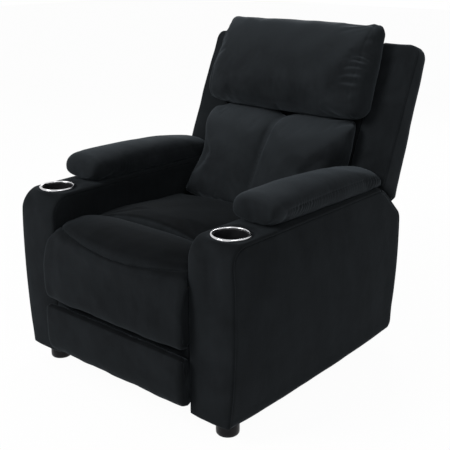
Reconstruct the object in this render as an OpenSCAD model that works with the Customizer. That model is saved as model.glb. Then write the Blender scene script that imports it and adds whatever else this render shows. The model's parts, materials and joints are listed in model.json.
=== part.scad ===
// Cinema recliner seat: millimetres, +Z up, the sitter faces -Y, origin on the floor under the middle.
// Places along Y are measured from the front of the arms, and seated() moves them to the origin.

/* [Overall] */
// Width of the seat upholstery
seat_w = 494; // [440:1:600]
// Gap between the seat and each arm
seat_side_gap = 5; // [4:1:10]
// Width of an arm
arm_w = 134; // [126:1:160]
// Distance of the origin behind the front of the arms
origin_y = 435.4; // [430:0.1:480]

/* [Arms] */
// Length of an arm, front to rear
arm_d = 771; // [720:1:860]
// Height of the arm tops
arm_top_z = 520; // [480:1:600]
// Radius that the front edge of the top rolls over
arm_roll_r = 55; // [30:1:75]
// Run of the slope at the rear of the top
arm_slope_run = 103; // [70:1:130]
// Drop of the slope at the rear of the top
arm_slope_drop = 96; // [60:1:130]
// Thickness of the padded covers
cover_t = 12; // [8:1:16]
// Thickness of the plywood panels in an arm
ply_t = 12; // [9:1:12]
// Front to rear size of the posts in an arm
post_d = 88; // [70:1:100]
// Height that the front post leaves free for the cup well
front_post_drop = 80; // [76:1:110]
// Height of a foot
foot_h = 53; // [40:1:70]
// Diameter of a foot at the floor
foot_d = 57; // [40:1:70]
// Diameter of a foot at the arm
foot_top_d = 51; // [36:1:66]
// Distance of the feet outwards from the middle of their arm
foot_out = 10; // [0:1:16]
// Distance of the front feet behind the front
front_foot_y = 57; // [45:1:80]
// Distance of the rear feet inwards from the middle of their arm
rear_foot_inset = 23; // [0:1:28]
// Distance of the rear feet before the rear
rear_foot_in = 55; // [45:1:70]

/* [Arm pads] */
// Gap between a cup ring and the pad behind it
pad_gap = 30; // [10:0.5:70]
// Distance that a pad reaches over the slope at the rear of the arm
pad_over = 12; // [0:1:30]
// Width of a pad
pad_w = 146; // [120:1:150]
// Distance of the pads outwards from the middle of their arm
pad_out = 1; // [0:1:8]
// Height of a pad at its crown
pad_h = 88; // [60:1:100]

/* [Cup holders] */
// Distance of a cup holder outwards from the middle of its arm
cup_out = 3; // [1:1:8]
// Distance of a cup holder behind the rolled edge
cup_in = 22; // [18:1:28]
// Inner diameter of a cup well
cup_d = 85; // [70:1:88]
// Depth of a cup well
cup_depth = 62; // [40:1:68]
// Wall of a cup well
cup_wall = 2.5; // [2:0.1:3.5]
// Outer diameter of the chromed ring
ring_d = 101; // [98:1:112]
// Height of the chromed ring
ring_h = 5; // [3:0.5:8]

/* [Base] */
// Height of the underside of the rails
rail_z = 175; // [165:1:190]
// Height of a rail section
rail_h = 40; // [36:1:46]
// Width of a rail section
rail_w = 20; // [18:1:24]
// Thickness of the rail steel
rail_t = 3; // [2.5:0.1:4]
// Distance of the rails behind the front
rail_y = 130; // [110:1:140]
// Distance that the rails run on behind the recline pivot
rail_over = 20; // [18:1:40]
// Side of the square cross tubes
tube_s = 25; // [20:1:30]
// Wall of the square cross tubes
tube_wall = 2; // [1.5:0.1:3]
// Diameter of the shank of a frame bolt
bolt_d = 8; // [6:1:10]

/* [Seat] */
// Thickness of the steel side plates
plate_t = 4; // [3:0.5:5]
// Distance of the line between knee roll and cushion behind the front
cushion_y = 118; // [100:1:140]
// Distance of the rear top edge of the cushion before the foot of the lumbar cushion
cushion_rear_gap = 13; // [12:1:30]
// Height of the cushion at its sides
cushion_side_z = 428; // [420:1:440]
// Rise of the cushion from its sides to its crown
cushion_crown = 44; // [20:1:60]
// Height of the seam under the knee roll, where the footrest hinges
hinge_z = 440; // [430:1:450]
// Distance of that seam before the front of the arms
hinge_fwd = 40; // [30:1:50]
// Distance that the seat glides forward
glide = 50; // [40:1:60]

/* [Back] */
// Lean of the back from upright at rest, in degrees
back_lean = 17.5; // [12:0.5:22]
// Angle that the back reclines through, in degrees
recline_angle = 28; // [24:1:32]
// Distance of the recline pivot before the rear of the arms
recline_in = 131; // [120:1:140]
// Height of the recline pivot
recline_z = 230; // [225:1:236]
// Height of the wing tops along the back, from the pivot
wing_top = 704; // [640:1:740]
// Depth of the wings at their foot, front to rear
wing_d = 131; // [110:1:140]
// Distance that the front of the wings falls back from foot to top
wing_taper = 40; // [20:1:60]
// Radius of the rear outer edge of the wings
wing_rear_r = 58; // [30:1:60]
// Width of the back over the wings
back_w = 756; // [720:1:780]
// Height of the head pillow along the back
pillow_h = 271; // [240:1:290]
// Width of the head pillow
pillow_w = 560; // [510:1:570]
// Thickness of the head pillow
pillow_d = 110; // [80:1:120]
// Height of the top of the pillow above the wings
pillow_rise = 40; // [20:1:60]
// Gap between the lumbar cushion and each arm
lumbar_side_gap = 8; // [7:1:30]
// Thickness of the lumbar cushion
lumbar_d = 95; // [50:1:110]

/* [Footrest] */
// Height of the lower edge of the upper panel
panel_low_z = 233; // [225:1:245]
// Gap between the two panels
panel_gap = 12; // [8:1:16]
// Height of the lower edge of the lower panel
toe_z = 80; // [70:1:90]
// Thickness of the boards
board_t = 12; // [10:1:14]
// Gap between the front panels and each arm
panel_side_gap = 8; // [4:1:20]
// Thickness of the link steel
link_t = 4; // [3:0.5:5]
// Width of the links
link_w = 24; // [20:1:28]
// Diameter of the link pins
pin_d = 8; // [6:1:10]

/* [Hidden] */

// Finishes
cloth = [0.13, 0.13, 0.14];
timber = [0.76, 0.62, 0.42];
steel = [0.30, 0.31, 0.33];
nylon = [0.85, 0.84, 0.80];
chrome = [0.80, 0.80, 0.82];
black = [0.05, 0.05, 0.06];

// Overrun of every cut past the face it opens
over = 1;
// Gap between soft forms and what they rest on
soft_gap = 0.3;
// Radial clearance of pins and studs in their holes
pin_fit = 0.05;
// Side clearance between sliding and turning plates
side_gap = 0.5;
facets = 48;

// Arms, seen from the side
between_arms_w = seat_w + 2 * seat_side_gap;
inner_x = between_arms_w / 2;
half_w = inner_x + arm_w;
arm_mid_x = (half_w + inner_x) / 2;
cup_x = arm_mid_x + cup_out;
arm_box_w = half_w - inner_x - 2 * cover_t;
arm_slope_y = arm_d - arm_slope_run;
rear_foot_y = arm_d - rear_foot_in;
cup_y = arm_roll_r + cup_in;
pad_y = cup_y + ring_d / 2 + pad_gap;
pad_d = arm_slope_y + pad_over - pad_y;
recline_y = arm_d - recline_in;
core_top_z = arm_top_z - cover_t;
core_x = inner_x + cover_t;
front_post_top = arm_top_z - front_post_drop;
rear_post_top = arm_top_z - arm_slope_drop - cover_t - ply_t;
hole_gap = 0.5;
cup_r = cup_d / 2;
cup_lip_r = cup_r + cup_wall + 3 * cup_wall / 2;
cup_lip_h = 2;

// Stack of steel plates on each side, from the arm inwards
rail_x = inner_x - rail_w;
stanchion_x = rail_x - plate_t + 2 * side_gap;
plate_x = stanchion_x - side_gap - plate_t;
link_a_x = plate_x - side_gap - link_t;
link_b_x = link_a_x - side_gap - link_t;
web_x = link_b_x - side_gap - link_t;
pin_r = pin_d / 2;
head_r = pin_d;
head_t = 2;

// Base
rail_d = recline_y + rail_over - rail_y;
rail_top_z = rail_z + rail_h;
front_tube_in = 42;
rear_tube_in = 70;
front_tube_y = rail_y + front_tube_in;
rear_tube_y = rail_y + rail_d - rear_tube_in;
bolt_head_t = 3;
bolt_head_share = 0.85;
front_bolt_in = 160;
rear_bolt_in = 60;
bolt_ys = [rail_y + front_bolt_in, rail_y + rail_d / 2, rail_y + rail_d - rear_bolt_in];
glide_in = 95;
glide_ys = [rail_y + glide_in, rail_y + rail_d - glide_in];
glide_block_l = 44;
glide_fit = 0.25;
stud_r = 4;

// Seat carriage
side_rail_w = 32;
side_rail_z = 330;
seat_rail_h = 32;
seat_rail_top = side_rail_z + seat_rail_h;
front_rail_y = 60;
front_rail_d = 30;
rear_rail_in = 90;
rear_rail_y = recline_y - rear_rail_in;
rear_rail_d = 36;
side_rail_x = seat_w / 2 - side_rail_w;
spring_wire = 3.5;
cushion_base_z = seat_rail_top + spring_wire + soft_gap;
spring_count = 5;
spring_pitch = 82;
spring_throw = 20;
spring_turns = 22;
drive_pivot_y = 90;
drive_pivot_z = 300;
elbow_y = 155;
elbow_z = 120;
drive_pivot = [drive_pivot_y, drive_pivot_z];
elbow_rest = [elbow_y, elbow_z];
panel_pin_rest = drive_pivot + [-(hinge_fwd + drive_pivot[0]), hinge_z - drive_pivot[1]]
    + elbow_rest - drive_pivot;
plate_front_y = 62;
plate_overhang = 26;
plate_rear_y = recline_y + plate_overhang;

// Back, along its own lean from the recline pivot
slot_arm = glide / sin(recline_angle);
upright_w = 30;
upright_d = 50;
upright_x = link_a_x - upright_w;
back_rail_d = 16;
back_rail_h = 40;
rear_panel_d = 16;
back_rear = upright_d + back_rail_d + rear_panel_d;
wing_front = back_rear - wing_d;
wing_gap = 4;
wing_x = inner_x + wing_gap;
wing_foot_front = 294;
wing_foot_rear = 243;
back_low_gap = 6;
back_low_w = between_arms_w - 2 * back_low_gap;
webbing_t = 3;
foam_d = 27;
foam_front = -webbing_t - foam_d - soft_gap;
lumbar_low = 150;
pillow_gap = 5;
lumbar_top = wing_top + pillow_rise - pillow_h - pillow_gap;
lumbar_w = between_arms_w - 2 * lumbar_side_gap;
lumbar_crown = 20;
lumbar_swell = 45;
lumbar_rear = foam_front - soft_gap;
lumbar_front = lumbar_rear - lumbar_d;
cushion_rear_y = recline_y + (cushion_side_z - recline_z) * tan(back_lean)
    + (lumbar_front - lumbar_swell) / cos(back_lean) - cushion_rear_gap;
crease_w = 22;
crease_depth = 24;
bracket_top = 190;

// Footrest
panel_w = between_arms_w - 2 * panel_side_gap;
seam_gap = 1.2;
board_gap = 16;
panel_draw = 12;
panel_crown = 26;
board_edge = 5;
knee_gap = 0.5;
knee_rise = 18;
knee_crown = 16;
board_top_z = hinge_z - hinge_fwd - board_t - 2 * board_edge;
frame_top_z = 352;
frame_inset = 16;
frame_low_z = toe_z + frame_inset;
frame_flange_w = 24;
frame_web_d = 28;

// Soft forms: points round a ring, and stations along a form
ring_points = 24;
station_count = 18;

// Places the whole seat on its origin
module seated() {
    translate([0, -origin_y, 0]) children();
}

// Copies a left piece to the right side
module on_side(side) {
    if (side > 0) children();
    else mirror([1, 0, 0]) children();
}

// Extrudes a side view, drawn in Y and Z, along X from x0
module along_x(x0, width) {
    translate([x0, 0, 0]) rotate([90, 0, 90]) linear_extrude(height = width) children();
}

// A round bar along X from x0
module x_bar(x0, width, radius, y, z, count = facets) {
    translate([x0, y, z]) rotate([0, 90, 0]) cylinder(h = width, r = radius, $fn = count);
}

// Everything that leans with the back
module on_back() {
    translate([0, recline_y, recline_z]) rotate([-back_lean, 0, 0]) children();
}

// Side view of an arm, drawn in by an inset
module arm_profile(inset, low) {
    r = arm_roll_r - inset;
    top = arm_top_z - inset;
    rear = arm_d - inset;
    // The slope keeps its angle as it is drawn in
    shift = inset * (sqrt(pow(arm_slope_run, 2) + pow(arm_slope_drop, 2)) - arm_slope_run) / arm_slope_drop;
    rear_shift = inset * (sqrt(pow(arm_slope_run, 2) + pow(arm_slope_drop, 2)) - arm_slope_drop)
        / arm_slope_run;
    polygon([[inset, low], [rear, low], [rear, arm_top_z - arm_slope_drop - rear_shift],
        [arm_slope_y - shift, top], [arm_roll_r, top], [arm_roll_r, arm_top_z - arm_roll_r],
        [inset, arm_top_z - arm_roll_r]]);
    translate([arm_roll_r, arm_top_z - arm_roll_r]) circle(r = r, $fn = 2 * facets);
}

module arm_panel(side) {
    color(timber) on_side(side) difference() {
        along_x(core_x, ply_t) intersection() {
            arm_profile(cover_t, foot_h);
            square([arm_d, core_top_z - ply_t]);
        }
        for (y = bolt_ys)
            x_bar(core_x - over, ply_t + 2 * over, bolt_d / 2 + pin_fit, y, rail_z + rail_h / 2);
    }
}

module arm_top_board(side) {
    color(timber) on_side(side) difference() {
        along_x(core_x, arm_box_w) intersection() {
            arm_profile(cover_t, foot_h);
            translate([0, core_top_z - ply_t]) square([arm_d, ply_t]);
        }
        translate([cup_x, cup_y, core_top_z - ply_t - over])
            cylinder(h = ply_t + 2 * over, r = cup_r + cup_wall + hole_gap, $fn = 2 * facets);
    }
}

module arm_front_post(side) {
    color(timber) on_side(side)
        translate([core_x + ply_t, cover_t, foot_h])
            cube([arm_box_w - ply_t, post_d, front_post_top - foot_h]);
}

module arm_rear_post(side) {
    color(timber) on_side(side) along_x(core_x + ply_t, arm_box_w - ply_t) intersection() {
        arm_profile(cover_t, foot_h);
        translate([arm_d - cover_t - post_d, foot_h]) square([post_d, rear_post_top - foot_h]);
    }
}

// Band of cover over the front, the rolled edge and the top
module arm_wrap(side) {
    color(cloth) on_side(side) difference() {
        along_x(core_x, arm_box_w) difference() {
            intersection() {
                arm_profile(0, foot_h);
                translate([0, foot_h]) square([arm_slope_y, arm_top_z]);
            }
            arm_profile(cover_t, 0);
        }
        translate([cup_x, cup_y, arm_top_z - arm_roll_r])
            cylinder(h = arm_roll_r + over, r = cup_r + cup_wall + hole_gap, $fn = 2 * facets);
    }
}

// Cover of the inner side, which the rails are bolted through
module arm_inner_cover(side) {
    color(cloth) on_side(side) difference() {
        along_x(inner_x, cover_t) arm_profile(0, foot_h);
        for (y = bolt_ys)
            x_bar(inner_x - over, cover_t + 2 * over, bolt_d / 2 + pin_fit, y, rail_z + rail_h / 2);
    }
}

// Cover of the flat outer side, which runs round the rear
module arm_outer_cover(side) {
    color(cloth) on_side(side) {
        along_x(half_w - cover_t, cover_t) arm_profile(0, foot_h);
        along_x(core_x, arm_box_w + over) difference() {
            intersection() {
                arm_profile(0, foot_h);
                translate([arm_slope_y, foot_h]) square([arm_slope_run + over, arm_top_z]);
            }
            arm_profile(cover_t, 0);
        }
    }
}

module cup_well(side) {
    color(black) on_side(side) translate([cup_x, cup_y, arm_top_z]) difference() {
        union() {
            translate([0, 0, -cup_depth - cup_wall])
                cylinder(h = cup_depth + cup_wall + cup_lip_h, r = cup_r + cup_wall, $fn = 2 * facets);
            cylinder(h = cup_lip_h, r = cup_lip_r, $fn = 2 * facets);
        }
        translate([0, 0, -cup_depth])
            cylinder(h = cup_depth + cup_lip_h + over, r = cup_r, $fn = 2 * facets);
    }
}

module cup_ring(side) {
    ring_w = ring_d / 2 - cup_r - cup_wall / 2;
    round_r = ring_h / 2;
    color(chrome) on_side(side) translate([cup_x, cup_y, arm_top_z + cup_lip_h])
        rotate_extrude($fn = 2 * facets) translate([ring_d / 2 - ring_w, 0]) {
            translate([round_r, 0]) square([ring_w - 2 * round_r, ring_h]);
            square([ring_w, round_r]);
            for (x = [round_r, ring_w - round_r])
                translate([x, ring_h - round_r]) circle(r = round_r, $fn = facets);
        }
}

module feet() {
    places = [[arm_mid_x + foot_out, front_foot_y], [arm_mid_x - rear_foot_inset, rear_foot_y]];
    color(black) for (side = [-1, 1], place = places)
        translate([side * place[0], place[1], 0])
            cylinder(h = foot_h, r1 = foot_d / 2, r2 = foot_top_d / 2, $fn = facets);
}

// Square tubes from arm to arm, under the rails
module cross_tubes() {
    color(steel) for (y = [front_tube_y, rear_tube_y]) difference() {
        translate([-inner_x, y, rail_z - tube_s]) cube([between_arms_w, tube_s, tube_s]);
        translate([-inner_x - over, y + tube_wall, rail_z - tube_s + tube_wall])
            cube([between_arms_w + 2 * over, tube_s - 2 * tube_wall, tube_s - 2 * tube_wall]);
    }
}

// Channel bolted to the arm, open towards the seat
module base_rail(side) {
    color(steel) on_side(side) difference() {
        translate([rail_x, rail_y, rail_z]) cube([rail_w, rail_d, rail_h]);
        translate([rail_x - rail_t, rail_y - over, rail_z + rail_t])
            cube([rail_w, rail_d + 2 * over, rail_h - 2 * rail_t]);
        for (y = bolt_ys)
            x_bar(rail_x, rail_w + over, bolt_d / 2 + pin_fit, y, rail_z + rail_h / 2);
    }
}

// Upright plate whose slot holds back the recline pin, so that the seat glides
module rear_stanchion(side) {
    post_w = 36;
    slot_r = 6;
    slot_high = recline_z + slot_arm;
    slot_low = recline_z + slot_arm * cos(recline_angle);
    color(steel) on_side(side) difference() {
        union() {
            along_x(stanchion_x, plate_t) translate([recline_y - post_w / 2, rail_top_z])
                square([post_w, slot_high - rail_top_z + post_w / 2]);
            translate([stanchion_x, recline_y - post_w / 2, rail_top_z])
                cube([rail_w - rail_t, post_w, plate_t]);
        }
        for (z = [slot_low, slot_high])
            x_bar(stanchion_x - over, plate_t + 2 * over, slot_r, recline_y, z);
        translate([stanchion_x - over, recline_y - slot_r, slot_low])
            cube([plate_t + 2 * over, 2 * slot_r, slot_high - slot_low]);
    }
}

module frame_bolts() {
    color(steel) for (side = [-1, 1], y = bolt_ys) on_side(side) {
        x_bar(inner_x - rail_t - bolt_head_t, bolt_head_t, bolt_d * bolt_head_share, y,
            rail_z + rail_h / 2, 6);
        x_bar(inner_x - rail_t - over, rail_t + cover_t + ply_t + over, bolt_d / 2, y,
            rail_z + rail_h / 2, 24);
    }
}

// A headed stud along X that fills a hole in the plates on its way
module stud(x0, width, y, z, outward) {
    x_bar(x0, width, pin_r, y, z);
    x_bar(outward ? x0 + width - head_t : x0, head_t, head_r, y, z);
}

module seat_plate(side) {
    stud_in = 2 * side_gap + link_t + head_t;
    color(steel) on_side(side) {
        along_x(plate_x, plate_t) polygon([[plate_front_y, side_rail_z],
            [plate_front_y, drive_pivot[1] - link_w], [front_tube_y, drive_pivot[1] - link_w],
            [glide_ys[0] - glide_block_l, rail_z + rail_t], [plate_rear_y - link_w, rail_z + rail_t],
            [plate_rear_y, recline_z - link_w / 2], [plate_rear_y, recline_z + link_w],
            [rear_rail_y + rear_rail_d, side_rail_z]]);
        stud(plate_x - stud_in, stud_in + over, drive_pivot[0], drive_pivot[1], false);
        stud(plate_x - stud_in, stud_in + over, recline_y, recline_z, false);
        for (y = glide_ys)
            x_bar(plate_x + plate_t - over, inner_x - rail_t - 2 * side_gap - plate_x - plate_t + over,
                stud_r, y, rail_z + rail_h / 2);
    }
}

// Nylon blocks that carry the seat in the rails
module glide_blocks() {
    block_h = rail_h - 2 * rail_t - 2 * glide_fit;
    block_x = rail_x + rail_t;
    color(nylon) for (side = [-1, 1], y = glide_ys) on_side(side) difference() {
        translate([block_x, y - glide_block_l / 2, rail_z + rail_t + glide_fit])
            cube([inner_x - rail_t - 2 * side_gap - block_x, glide_block_l, block_h]);
        x_bar(block_x - over, rail_w, stud_r + pin_fit, y, rail_z + rail_h / 2);
    }
}

module seat_side_rail(side) {
    color(timber) on_side(side) translate([side_rail_x, front_rail_y, side_rail_z])
        cube([side_rail_w, rear_rail_y + rear_rail_d - front_rail_y, seat_rail_h]);
}

module seat_cross_rail(y, depth) {
    color(timber) translate([-side_rail_x, y, side_rail_z]) cube([2 * side_rail_x, depth, seat_rail_h]);
}

// Sinuous springs from the front rail to the rear rail
module seat_springs() {
    start_y = front_rail_y + front_rail_d / 3;
    run = rear_rail_y + rear_rail_d * 2 / 3 - start_y;
    step = run / spring_turns;
    points = [for (i = [0:spring_turns]) each [
        [(i % 2 == 0 ? -1 : 1) * spring_throw, i * step],
        [(i % 2 == 0 ? 1 : -1) * spring_throw, i * step]]];
    half = spring_wire / 2;
    color(steel) for (i = [0:spring_count - 1])
        translate([(i - (spring_count - 1) / 2) * spring_pitch, start_y, seat_rail_top])
            linear_extrude(height = spring_wire) for (k = [0:spring_turns]) {
                translate([-spring_throw - half, k * step - half])
                    square([2 * spring_throw + spring_wire, spring_wire]);
                if (k < spring_turns)
                    translate([(k % 2 == 0 ? 1 : -1) * spring_throw - half, k * step - half])
                        square([spring_wire, step + spring_wire]);
            }
}

// Mixes two values or points
function mix(a, b, share) = a + (b - a) * share;

// A cosine or sine pulled towards a square
function squared(c, power) = sign(c) * pow(abs(c), 2 / power);

// A point of a rounded four-cornered section, from corners that run round from the lower front
function section_point(corners, power, angle) =
    let (p = (1 + squared(cos(angle), power)) / 2, q = (1 + squared(sin(angle), power)) / 2)
    mix(mix(corners[0], corners[1], p), mix(corners[3], corners[2], p), q);

function middle(corners) = (corners[0] + corners[1] + corners[2] + corners[3]) / 4;

// How full a form is at a place along it, from 1 in the middle to end_share at its ends
function fullness(u, power, end_share) =
    end_share + (1 - end_share) * pow(max(0, 1 - pow(abs(u), power)), 1 / power);

// Places along a form, closer together near its ends
function station(i) = sin(90 * (2 * i / station_count - 1));

// A bulge on one side of a section: 1 in the middle of the side, 0 at its corners
function bulge_share(angle, centre) = pow(max(0, cos(angle - centre)), 1.5);

// A closed skin over rings of points
module loft(rings) {
    count = len(rings[0]);
    last = count * (len(rings) - 1);
    polyhedron(points = [for (ring = rings) each ring], faces = concat(
        [for (i = [0:len(rings) - 2], k = [0:count - 1])
            let (a = i * count + k, b = i * count + (k + 1) % count)
            each [[a, b, b + count], [a, b + count, a + count]]],
        [for (k = [1:count - 2]) [0, k + 1, k]],
        [for (k = [1:count - 2]) [last, last + k, last + k + 1]]));
}

// A cushion along X: a side section in Y and Z, a crown to one side, and a groove down its middle
module cushion(width, corners, crown, towards, power = 7, end_power = 7, end_share = 0.75,
    groove_w = 1, groove = 0) {
    mid = middle(corners);
    loft([for (i = [0:station_count]) let (u = station(i), full = fullness(u, end_power, end_share))
        [for (k = [0:ring_points - 1]) let (
            angle = -360 * k / ring_points,
            dip = groove * exp(-pow(u * width / 2 / groove_w, 2)),
            lift = bulge_share(angle, towards) * (crown * (1 - u * u) - dip),
            p = mix(mid, section_point(corners, power, angle), full))
            [u * width / 2, p[0] + lift * cos(towards), p[1] + lift * sin(towards)]]]);
}

module arm_pad(side) {
    low = arm_top_z + soft_gap;
    pad_power = 3.4;
    pad_end_share = 0.72;
    pad_crown_share = 0.16;
    pad_fall_share = 0.1;
    color(cloth) on_side(side) translate([arm_mid_x + pad_out, pad_y + pad_d / 2, low])
        loft([for (i = [0:station_count]) let (u = station(i), full = fullness(u, 5, pad_end_share))
            [for (k = [0:ring_points - 1]) let (
                angle = -360 * k / ring_points,
                c = squared(cos(angle), pad_power),
                s = squared(sin(angle), pad_power),
                crown = 1 - pad_crown_share * c * c,
                high = pad_h * crown * full * (1 - pad_fall_share * (1 + u)))
                [-c * pad_w / 2 * full, u * pad_d / 2, (1 + s) / 2 * high]]]);
}

module seat_cushion() {
    rear_foot = 40;
    front_rise = 18;
    color(cloth) cushion(seat_w, [[cushion_y, cushion_base_z], [cushion_rear_y + rear_foot, cushion_base_z],
        [cushion_rear_y, cushion_side_z], [cushion_y, cushion_side_z + front_rise]],
        crown = cushion_crown, towards = 90, power = 9, end_power = 9, end_share = 0.9);
}

// Rolled front edge of the seat, mitred so that the upper panel can swing up to it
module knee_roll() {
    low_y = board_t + board_gap;
    rear_y = cushion_y - knee_gap;
    color(cloth) intersection() {
        cushion(seat_w, [[-hinge_fwd, cushion_base_z], [rear_y, cushion_base_z],
            [rear_y, cushion_side_z + knee_rise], [-hinge_fwd + knee_rise, cushion_side_z + knee_rise]],
            crown = knee_crown, towards = 112, power = 5, end_share = 0.86);
        along_x(-seat_w, 2 * seat_w) polygon([[-hinge_fwd, hinge_z + seam_gap],
            [low_y, hinge_z + seam_gap - hinge_fwd - low_y], [cushion_y, cushion_base_z - knee_gap],
            [cushion_y, arm_top_z], [-3 * hinge_fwd, arm_top_z], [-3 * hinge_fwd, hinge_z + seam_gap]]);
    }
}

module back_upright(side) {
    color(timber) on_side(side) on_back() translate([upright_x, 0, upright_w])
        cube([upright_w, upright_d, wing_top - 2 * upright_w]);
}

module back_cross_rail(width, low) {
    color(timber) on_back() translate([-width / 2, upright_d, low]) cube([width, back_rail_d, back_rail_h]);
}

module back_top_rail() {
    back_cross_rail(2 * wing_x, wing_top - 2 * back_rail_h);
}

module back_middle_rail() {
    back_cross_rail(2 * wing_x, wing_foot_front + back_rail_d);
}

module back_bottom_rail() {
    back_cross_rail(2 * (upright_x + upright_w), back_rail_h);
}

// Straps stretched across the uprights
module back_webbing() {
    strap_h = 50;
    strap_pitch = 105;
    strap_count = 6;
    color(black) on_back() for (i = [0:strap_count - 1])
        translate([-upright_x - upright_w, -webbing_t, 2 * upright_w + i * strap_pitch])
            cube([2 * (upright_x + upright_w), webbing_t, strap_h]);
}

module back_foam() {
    color(cloth) on_back() {
        translate([-wing_x + soft_gap, foam_front, wing_foot_front])
            cube([2 * (wing_x - soft_gap), foam_d, wing_top - wing_foot_front - upright_w / 6]);
        translate([-back_low_w / 2, foam_front, lumbar_low])
            cube([back_low_w, foam_d, wing_foot_front - lumbar_low + over]);
    }
}

module rear_panel() {
    y = upright_d + back_rail_d + soft_gap;
    color(cloth) on_back() {
        translate([-wing_x + soft_gap, y, wing_foot_rear + 2 * back_rail_d])
            cube([2 * (wing_x - soft_gap), rear_panel_d - soft_gap,
                wing_top - wing_foot_rear - 2 * back_rail_d - upright_w / 6]);
        translate([-back_low_w / 2, y, upright_w])
            cube([back_low_w, rear_panel_d - soft_gap, wing_foot_rear + 2 * back_rail_d - upright_w + over]);
        // Its cloth turns over the top of the frame
        translate([-wing_x + soft_gap, -webbing_t, wing_top - upright_w / 6 - cover_t])
            cube([2 * (wing_x - soft_gap), back_rear + webbing_t, cover_t]);
    }
}

// Side wing, rounded along its outer edges and round its top corner
module wing(side) {
    wing_w = back_w / 2 - wing_x;
    edge_r = 14;
    corner_r = 32;
    reach = corner_r - edge_r;
    top_front = wing_front + wing_taper;
    fall = wing_taper / (wing_top - wing_foot_front);
    low_front = wing_front - fall * wing_foot_front;
    color(cloth) on_side(side) on_back() intersection() {
        along_x(wing_x, wing_w) polygon([[wing_front, wing_foot_front], [back_rear, wing_foot_rear],
            [back_rear, wing_top], [top_front, wing_top]]);
        hull() {
            for (x = [wing_x - edge_r, wing_x + wing_w - edge_r])
                translate([x, low_front + edge_r, 0]) cylinder(h = edge_r, r = edge_r, $fn = 32);
            for (a = [0, 30, 60, 90])
                translate([wing_x + wing_w - corner_r + reach * cos(a), top_front + edge_r,
                    wing_top - corner_r + reach * sin(a)]) sphere(r = edge_r, $fn = 32);
            translate([wing_x - edge_r, top_front + edge_r, wing_top - edge_r]) sphere(r = edge_r, $fn = 32);
            translate([wing_x + wing_w - wing_rear_r, back_rear - wing_rear_r, 0])
                cylinder(h = wing_top - corner_r, r = wing_rear_r, $fn = 64);
            translate([wing_x + wing_w - wing_rear_r, back_rear - wing_rear_r, 0])
                cylinder(h = wing_top - edge_r / 2, r = wing_rear_r - corner_r / 2, $fn = 64);
            translate([wing_x - edge_r, top_front, 0])
                cube([edge_r, back_rear - top_front, wing_top - edge_r]);
        }
    }
}

// Two upright channels either side of a centre crease
module lumbar_cushion() {
    color(cloth) on_back() cushion(lumbar_w, [[lumbar_front - lumbar_swell, lumbar_low],
        [lumbar_rear, lumbar_low], [lumbar_rear, lumbar_top], [lumbar_front, lumbar_top]],
        crown = lumbar_crown, towards = 180, end_power = 8, end_share = 0.8,
        groove_w = crease_w, groove = crease_depth);
}

module head_pillow() {
    rear = foam_front - soft_gap;
    low = wing_top + pillow_rise - pillow_h;
    foot_share = 0.68;
    top_share = 0.46;
    crown_share = 0.3;
    color(cloth) on_back() cushion(pillow_w, [[rear - pillow_d * foot_share, low], [rear, low],
        [rear, low + pillow_h], [rear - pillow_d * top_share, low + pillow_h]],
        crown = pillow_d * crown_share, towards = 180, power = 4.5, end_power = 5, end_share = 0.62);
}

// Steel plate on the side of an upright, with the recline hole and the pin of the stanchion slot
module recline_bracket(side) {
    width = upright_d - 2 * link_t;
    slot_pin_r = 5;
    pin_place = [-slot_arm * sin(back_lean), slot_arm * cos(back_lean)];
    lug_y = pin_place[0] - 2 * slot_pin_r;
    color(steel) on_side(side) on_back() {
        difference() {
            along_x(link_a_x, link_t) {
                square([width, bracket_top]);
                circle(r = width / 2, $fn = facets);
                polygon([[lug_y, pin_place[1] - 2 * slot_pin_r], [0, pin_place[1] - width],
                    [width, pin_place[1]], [0, pin_place[1] + width],
                    [lug_y, pin_place[1] + 2 * slot_pin_r]]);
            }
            x_bar(link_a_x - over, link_t + 2 * over, pin_r + pin_fit, 0, 0);
        }
        x_bar(link_a_x, stanchion_x + plate_t + side_gap + head_t - link_a_x, slot_pin_r,
            pin_place[0], pin_place[1]);
    }
}

module upper_panel_board() {
    color(timber) translate([-panel_w / 2 + board_t, 0, panel_low_z + board_edge])
        cube([panel_w - 2 * board_t, board_t, board_top_z - panel_low_z - board_edge]);
}

module lower_panel_board() {
    low = toe_z + board_edge;
    color(timber) translate([-panel_w / 2 + board_t, 0, low])
        cube([panel_w - 2 * board_t, board_t, panel_low_z - panel_gap - board_edge - low]);
}

// Padding of the upper panel: its top is mitred down from the seam
module upper_panel_pad() {
    color(cloth) intersection() {
        cushion(panel_w, [[-hinge_fwd + panel_draw, panel_low_z], [-soft_gap, panel_low_z],
            [-soft_gap, hinge_z + panel_draw], [-hinge_fwd + panel_draw / 2, hinge_z + panel_draw]],
            crown = panel_crown, towards = 180, end_share = 0.72);
        along_x(-panel_w, 2 * panel_w) polygon([[-hinge_fwd, hinge_z], [0, hinge_z - hinge_fwd],
            [0, 0], [-3 * hinge_fwd, 0], [-3 * hinge_fwd, hinge_z]]);
    }
}

module lower_panel_pad() {
    top = panel_low_z - panel_gap;
    color(cloth) cushion(panel_w, [[-hinge_fwd + panel_draw, toe_z], [-soft_gap, toe_z],
        [-soft_gap, top], [-hinge_fwd + panel_draw, top]],
        crown = panel_crown, towards = 180, power = 6, end_share = 0.72);
}

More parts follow.
